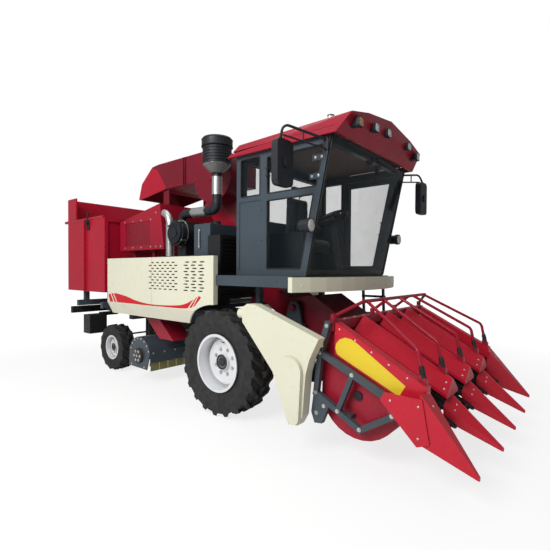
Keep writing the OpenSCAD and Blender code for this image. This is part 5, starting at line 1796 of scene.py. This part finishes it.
@dataclass
class CropPath:
    """Screens, flanges and bolts of the duct, fan and husker."""

    fan: Point = (-0.800, -0.512, 3.130)
    fan_bolts: int = 20
    fan_circle: float = 0.376
    hub_face: float = -0.545
    hub_circle: float = 0.044
    duct_face: float = 0.500
    duct_left: float = 0.080
    cheek: Profile = ((-2.338, 3.486), (-2.180, 3.420), (-1.932, 3.100), (-1.936, 3.086), (-2.688, 2.982),
                      (-2.732, 2.996), (-2.644, 3.246))
    cheek_thick: float = 0.003
    flanges: Row = (-1.480, -1.440)
    flange_wide: float = 0.012
    flange_out: float = 0.022
    flange_z: Point2 = (3.085, 3.505)
    upper_bolts: Row = (-1.20, -1.34, -1.60, -1.75, -1.90, -2.05)
    upper_z: float = 3.488
    lower_bolts: Row = (-1.24, -1.60, -1.80)
    lower_z: float = 3.110
    screen_x: Point2 = (-2.462, -1.798)
    screen_z: Point2 = (2.158, 2.492)
    screen_face: float = 0.888
    hole_pitch: float = 0.022
    row_share: float = 0.87
    hole_lift: float = 0.0006
    edge_columns: Row = (-2.50, -2.26, -2.02, -1.76)
    edge_rows: Point2 = (2.11, 2.53)
    chute_columns: Row = (-1.62, -1.50)
    chute_rows: Point2 = (2.11, 2.62)

    def screens(self) -> None:
        """Marks the holes of the husker's side screens with flat black discs, painted shade of the dark
        inside, and sets its bolts.
        """
        spots = []
        rise = self.row_share * self.hole_pitch
        across = int((self.screen_x[1] - self.screen_x[0]) / self.hole_pitch)
        rows = int((self.screen_z[1] - self.screen_z[0]) / rise)
        for side in SIDES:
            for row in range(rows + 1):
                for step in range(across + 1 - row % 2):
                    x = self.screen_x[0] + (step + 0.5 * (row % 2)) * self.hole_pitch
                    z = self.screen_z[0] + row * rise
                    spots.append((at(x, side * (self.screen_face + self.hole_lift), z), side * LEFT))
        # Black discs stand for the holes: painted shade of the dark inside.
        PointField("husker_hole_shade", Carrier.CHASSIS, spots, radius=0.0068, height=0.001, head=Head.HOLE_SHADE,
                   finish=BLACK, slot="black").build()
        edge = [at(x, -OUTSIDE, z) for x in self.edge_columns for z in self.edge_rows]
        edge += [at(x, -OUTSIDE, z) for x in self.chute_columns for z in self.chute_rows]
        bolts = Skin("husker").spots(edge, LEFT)
        PointField("husker_bolts", Carrier.CHASSIS, bolts, radius=0.011, height=0.007).build()

    def duct(self) -> None:
        """Adds the duct's end cheeks, its flange and the fan's bolts."""
        cheeks = Shape()
        cheeks.prism([at(x, -self.duct_face, z) for x, z in self.cheek], -self.cheek_thick * LEFT)
        left = self.duct_face - self.duct_left
        cheeks.prism([at(x, left, z) for x, z in self.cheek], self.cheek_thick * LEFT)
        cheeks.piece("duct_cheeks", Carrier.CHASSIS, RED, "red")
        flange = Shape()
        low, high = self.flange_z
        for x in self.flanges:
            corners = ((x, low), (x + self.flange_wide, low), (x + self.flange_wide, high), (x, high))
            outline = [at(px, -self.duct_face, z) for px, z in corners]
            flange.prism(outline, -self.flange_out * LEFT, bevel=0.002)
        # The duct's flange takes the same much darker red: painted shade.
        flange.piece("duct_flange", Carrier.CHASSIS, DEEPLY_SHADED_RED, "red")
        starts = [at(x, -OUTSIDE, self.upper_z) for x in self.upper_bolts]
        starts += [at(x, -OUTSIDE, self.lower_z) for x in self.lower_bolts]
        spots = Skin("discharge_duct").spots(starts, LEFT)
        spots += ring(at(*self.fan), self.fan_circle, self.fan_bolts, -LEFT)
        spots += ring(at(self.fan[0], self.hub_face, self.fan[2]), self.hub_circle, count=4, way=-LEFT)
        PointField("duct_bolts", Carrier.CHASSIS, spots, radius=0.009, height=0.006, finish=RED,
                   slot="red").build()

    def build(self) -> None:
        """Builds all the crop path's small parts."""
        self.screens()
        self.duct()


@dataclass
class EarBin:
    """Latch and bolts of the tipping bin."""

    wall: float = 1.110
    top: float = 2.620
    latch_x: float = -3.330
    latch_plate: Point = (0.090, 0.150, 0.015)
    boss_profile: Profile = ((0.0, 0.050), (0.030, 0.048), (0.034, 0.040), (0.034, 0.010), (0.0, 0.010))
    knob_profile: Profile = ((0.0, 0.020), (0.016, 0.014), (0.018, 0.0), (0.012, -0.012), (0.0, -0.014))
    lever: tuple[Point, ...] = ((0.0, -0.040, 0.05), (0.04, -0.046, 0.10), (0.05, -0.030, 0.21))
    side_columns: Row = (-4.11, -2.84)
    side_rows: Row = (1.45, 1.80, 2.15, 2.50)
    middle_x: float = -3.47
    middle_rows: Row = (1.45, 1.75, 2.05, 2.35)
    front_start: float = -1.0
    front_columns: Row = (-1.08, -0.49, 0.09)
    front_rows: Row = (1.50, 1.90, 2.30)

    def build(self) -> None:
        """Builds the bin's small parts."""
        latch = Shape()
        foot = at(self.latch_x, -self.wall - 0.004, self.top - 0.10)
        latch.prism(soft_square(foot, AHEAD, UP, *self.latch_plate), -0.012 * LEFT, bevel=0.003)
        latch.lathe(foot + 0.05 * UP, -LEFT, self.boss_profile, sides=20)
        lever = rounded([foot + Vector(corner) for corner in self.lever], radius=0.03)
        latch.tube(lever, radius=0.011, sides=12)
        latch.lathe(lever[-1], UP, self.knob_profile, sides=16)
        latch.piece("bin_latch", Carrier.BIN, BLACK, "black")
        skin = Skin("ear_bin")
        starts = [at(x, -OUTSIDE, z) for x in self.side_columns for z in self.side_rows]
        starts += [at(self.middle_x, -OUTSIDE, z) for z in self.middle_rows]
        spots = skin.spots(starts, LEFT)
        front = [at(self.front_start, y, z) for y in self.front_columns for z in self.front_rows]
        spots += skin.spots(front, -AHEAD)
        PointField("bin_bolts", Carrier.BIN, spots, radius=0.011, height=0.006, head=Head.DOME, finish=RED,
                   slot="red").build()


@dataclass
class Header:
    """Band, rivets, rubber feet and bolts of the maize header."""

    panel: float = 1.155
    band: Profile = ((1.659, 1.035), (1.667, 1.085), (1.705, 1.128), (1.760, 1.150), (1.820, 1.142),
                     (1.885, 1.108), (2.327, 0.812), (2.273, 0.716), (1.717, 0.966), (1.677, 0.990))
    band_thick: float = 0.001
    row: float = 0.590
    ridge_start: Point2 = (1.660, 1.300)
    ridge_run: float = 0.880
    ridge_drop: float = 0.500
    foot_x: float = 2.452
    foot_lift: float = 0.030
    foot_inset: float = 0.085
    hoop_bend: Point2 = (2.405, 1.110)
    foot_profile: Profile = ((0.0165, 0.0), (0.024, 0.0), (0.023, 0.085), (0.020, 0.100), (0.0165, 0.102))
    inner_lift: float = 0.0006
    outer_lift: float = 0.0074
    hood_rivets: tuple[tuple[float, Row], ...] = ((2.505, (-0.13, -0.07, 0.07, 0.13)),
                                                  (2.590, (-0.105, -0.05, 0.05, 0.105)))
    end_rivets: Profile = ((2.50, 1.10), (2.56, 1.18))
    panel_start: Point2 = (1.650, 1.279)
    panel_fall: float = 0.5279
    rivet_drop: float = 0.035
    edge_rivets: Row = (1.70, 1.86, 2.02, 2.18, 2.34)
    low_rivets: Profile = ((2.47, 0.70), (2.47, 0.45), (2.24, 0.70))
    truss: Profile = ((1.530, 0.990), (1.605, 1.250), (1.487, 0.610), (1.945, 0.372), (2.240, 0.560),
                      (2.193, 0.695), (1.868, 0.838), (1.724, 0.484), (1.500, 0.420), (1.580, 0.500))
    beam_x: float = 1.610
    cover_bolts: Profile = ((0.71, 1.375), (0.82, 1.368), (1.06, 1.286), (1.30, 1.203), (1.53, 1.125),
                            (1.475, 0.965), (1.435, 0.80), (1.392, 0.45), (1.30, 0.315), (1.10, 0.735),
                            (0.88, 0.985), (0.68, 1.205))
    plug: Point = (0.560, -1.295, 1.300)
    plug_profile: Profile = ((0.0, 0.010), (0.036, 0.008), (0.046, 0.0), (0.046, -0.004), (0.0, -0.004))

    def ridge(self, x: float) -> float:
        """Returns the height of the hoods' ridge over a place."""
        start, height = self.ridge_start
        return height - self.ridge_drop * (x - start) / self.ridge_run

    def bands(self) -> None:
        """Lays the plain yellow band on both side panels."""
        band = Shape()
        for side in SIDES:
            band.prism([at(x, side * self.panel, z) for x, z in self.band], self.band_thick * side * LEFT)
        band.piece("side_band", Carrier.HEADER, BAND_YELLOW, "cream")

    def feet(self) -> None:
        """Slips the rubber feet over the ends of the crop hoops."""
        feet = Shape()
        outer = 2 * self.row - self.foot_inset
        hoops = [(-outer, self.outer_lift)]
        hoops += [(y, self.inner_lift) for y in (-self.row, 0.0, self.row)]
        hoops += [(outer, self.outer_lift)]
        for y, lift in hoops:
            end = at(self.foot_x, y, self.ridge(self.foot_x) + lift + self.foot_lift)
            way = (at(self.hoop_bend[0], y, self.hoop_bend[1]) - end).normalized()
            feet.lathe(end, way, self.foot_profile, sides=20)
            bead = circle(end + 0.06 * way, way, radius=0.0235, count=20)
            feet.tube(bead, radius=0.003, sides=6, closed=True)
        feet.piece("hoop_feet", Carrier.HEADER, SEAL_RUBBER, "black_plastic")

    def rivets(self) -> None:
        """Sets rivets on the dividers and side panels."""
        skin = Skin("row_dividers")
        tops = []
        for y in (-self.row, 0.0, self.row):
            for x, offs in self.hood_rivets:
                tops += [at(x, y + off, OUTSIDE) for off in offs]
        for side in SIDES:
            tops += [at(x, side * y, OUTSIDE) for x, y in self.end_rivets]
        spots = skin.spots(tops, -UP)
        start, height = self.panel_start
        for side in SIDES:
            panel = [at(x, OUTSIDE * side, height - self.panel_fall * (x - start) - self.rivet_drop)
                     for x in self.edge_rivets]
            panel += [at(x, OUTSIDE * side, z) for x, z in self.low_rivets]
            spots += skin.spots(panel, -side * LEFT)
        PointField("divider_rivets", Carrier.HEADER, spots, radius=0.010, height=0.005,
                   head=Head.DOME).build()

    def bolts(self) -> None:
        """Sets bolts on the side frames, the top beam and the drive cover, and plugs the drive tube."""
        skin = Skin("header_side_frames")
        spots = []
        for side in SIDES:
            spots += skin.spots([at(x, OUTSIDE * side, z) for x, z in self.truss], -side * LEFT)
        beam = [at(self.beam_x, y / 10, OUTSIDE) for y in range(-11, 12, 2)]
        spots += Skin("header_trough").spots(beam, -UP)
        PointField("side_frame_bolts", Carrier.HEADER, spots, radius=0.013, height=0.008).build()
        spots = Skin("drive_cover").spots([at(x, -OUTSIDE, z) for x, z in self.cover_bolts], LEFT)
        PointField("drive_cover_bolts", Carrier.HEADER, spots, radius=0.010, height=0.005, head=Head.DOME,
                   finish=CREAM, slot="cream").build()
        plug = Shape()
        plug.lathe(at(*self.plug), -AHEAD, self.plug_profile, sides=24)
        plug.piece("drive_tube_plug", Carrier.HEADER, CREAM, "cream")

    def build(self) -> None:
        """Builds all the header's small parts."""
        self.bands()
        self.feet()
        self.rivets()
        self.bolts()


@dataclass
class Chopper:
    """Bolts and pulley ridges of the stalk chopper."""

    axis: Point2 = (-1.970, 0.430)
    hood_circle: float = 0.262
    hood_turns: range = range(20, 180, 20)
    foot_bolts: Profile = ((0.13, 0.26), (-0.22, 0.27))
    front_z: float = 0.49
    bearing_face: float = 0.976
    bearing_circle: float = 0.060
    ridge_circle: float = 0.1095
    ridge: float = 0.0042
    ridges: Row = (-0.977, -0.9875, -0.998)
    nut_y: float = -1.008
    pulley_y: float = -1.004
    pulley_circle: float = 0.075

    def build(self) -> None:
        """Builds the chopper's small parts."""
        x, z = self.axis
        skin = Skin("chopper_hood")
        spots, bearing = [], []
        turns = [math.radians(turn) for turn in self.hood_turns]
        reach = self.hood_circle
        rim = [(x + reach * math.cos(turn), z + reach * math.sin(turn)) for turn in turns]
        for side in SIDES:
            starts = [at(px, OUTSIDE * side, pz) for px, pz in rim]
            starts += [at(x + off, OUTSIDE * side, pz) for off, pz in self.foot_bolts]
            spots += skin.spots(starts, -side * LEFT)
            centre = at(x, side * self.bearing_face, z)
            bearing += ring(centre, self.bearing_circle, count=4, way=side * LEFT, start=math.pi / 4)
        spots += skin.spots([at(0.0, y / 10, self.front_z) for y in range(-9, 10, 2)], -AHEAD)
        PointField("chopper_bolts", Carrier.CHOPPER, spots, radius=0.011, height=0.007).build()
        PointField("bearing_bolts", Carrier.CHOPPER, bearing, radius=0.009, height=0.006).build()
        pulley = Shape()
        for y in self.ridges:
            loop = circle(at(x, y, z), LEFT, self.ridge_circle, count=40)
            pulley.tube(loop, self.ridge, sides=8, closed=True)
        pulley.piece("pulley_ridges", Carrier.ROTOR, IRON, "iron")
        nuts = [(at(x, self.nut_y, z), -LEFT)]
        nuts += ring(at(x, self.pulley_y, z), self.pulley_circle, count=6, way=-LEFT)
        PointField("pulley_nut", Carrier.ROTOR, nuts, radius=0.016, height=0.010).build()


@dataclass
class Chassis:
    """Bolts of the frame, deck, sill and rear bar."""

    deck_columns: Row = (0.08, 0.50, 0.94)
    deck_z: float = 1.640
    rail_columns: Row = (-3.70, -3.10, -2.20, -1.60, -0.60)
    rail_rows: Point2 = (1.00, 1.08)
    behind: float = -9.0
    rear_columns: Row = (-0.43, -0.30, 0.30, 0.43)
    rear_z: float = 1.02
    before: float = 5.0
    sill_columns: Point2 = (-1.12, 1.12)
    sill_z: float = 1.61

    def build(self) -> None:
        """Builds the chassis bolts."""
        deck, rail = Skin("deck"), Skin("frame")
        screws, spots = [], []
        for side in SIDES:
            edge = [at(x, OUTSIDE * side, self.deck_z) for x in self.deck_columns]
            screws += deck.spots(edge, -side * LEFT)
            starts = [at(x, OUTSIDE * side, z) for x in self.rail_columns for z in self.rail_rows]
            spots += rail.spots(starts, -side * LEFT)
        rear = [at(self.behind, y, self.rear_z) for y in self.rear_columns]
        spots += Skin("rear_bumper").spots(rear, AHEAD)
        PointField("frame_bolts", Carrier.CHASSIS, spots, radius=0.013, height=0.009, finish=BLACK,
                   slot="black").build()
        PointField("deck_screws", Carrier.CHASSIS, screws, radius=0.009, height=0.005, head=Head.DOME,
                   finish=SLATE, slot="slate").build()
        sill = Skin("front_sill").spots([at(self.before, y, self.sill_z) for y in self.sill_columns], -AHEAD)
        PointField("sill_screws", Carrier.CHASSIS, sill, radius=0.010, height=0.005, head=Head.DOME,
                   finish=CREAM, slot="cream").build()


def main() -> None:
    """Builds the studio and dresses each sub-assembly in order."""
    logging.basicConfig(level=logging.INFO, format="%(name)s %(message)s")
    Studio().build()
    Bodywork().dress()
    for wheel in all_wheels():
        wheel.build()
    assemblies = (Cab(), DriverSeat(), SideCovers(), EngineBay(), CropPath(), EarBin(), Header(), Chopper(),
                  Chassis())
    for assembly in assemblies:
        assembly.build()
        LOG.info("%s dressed", type(assembly).__name__)


if __name__ == "__main__":
    main()
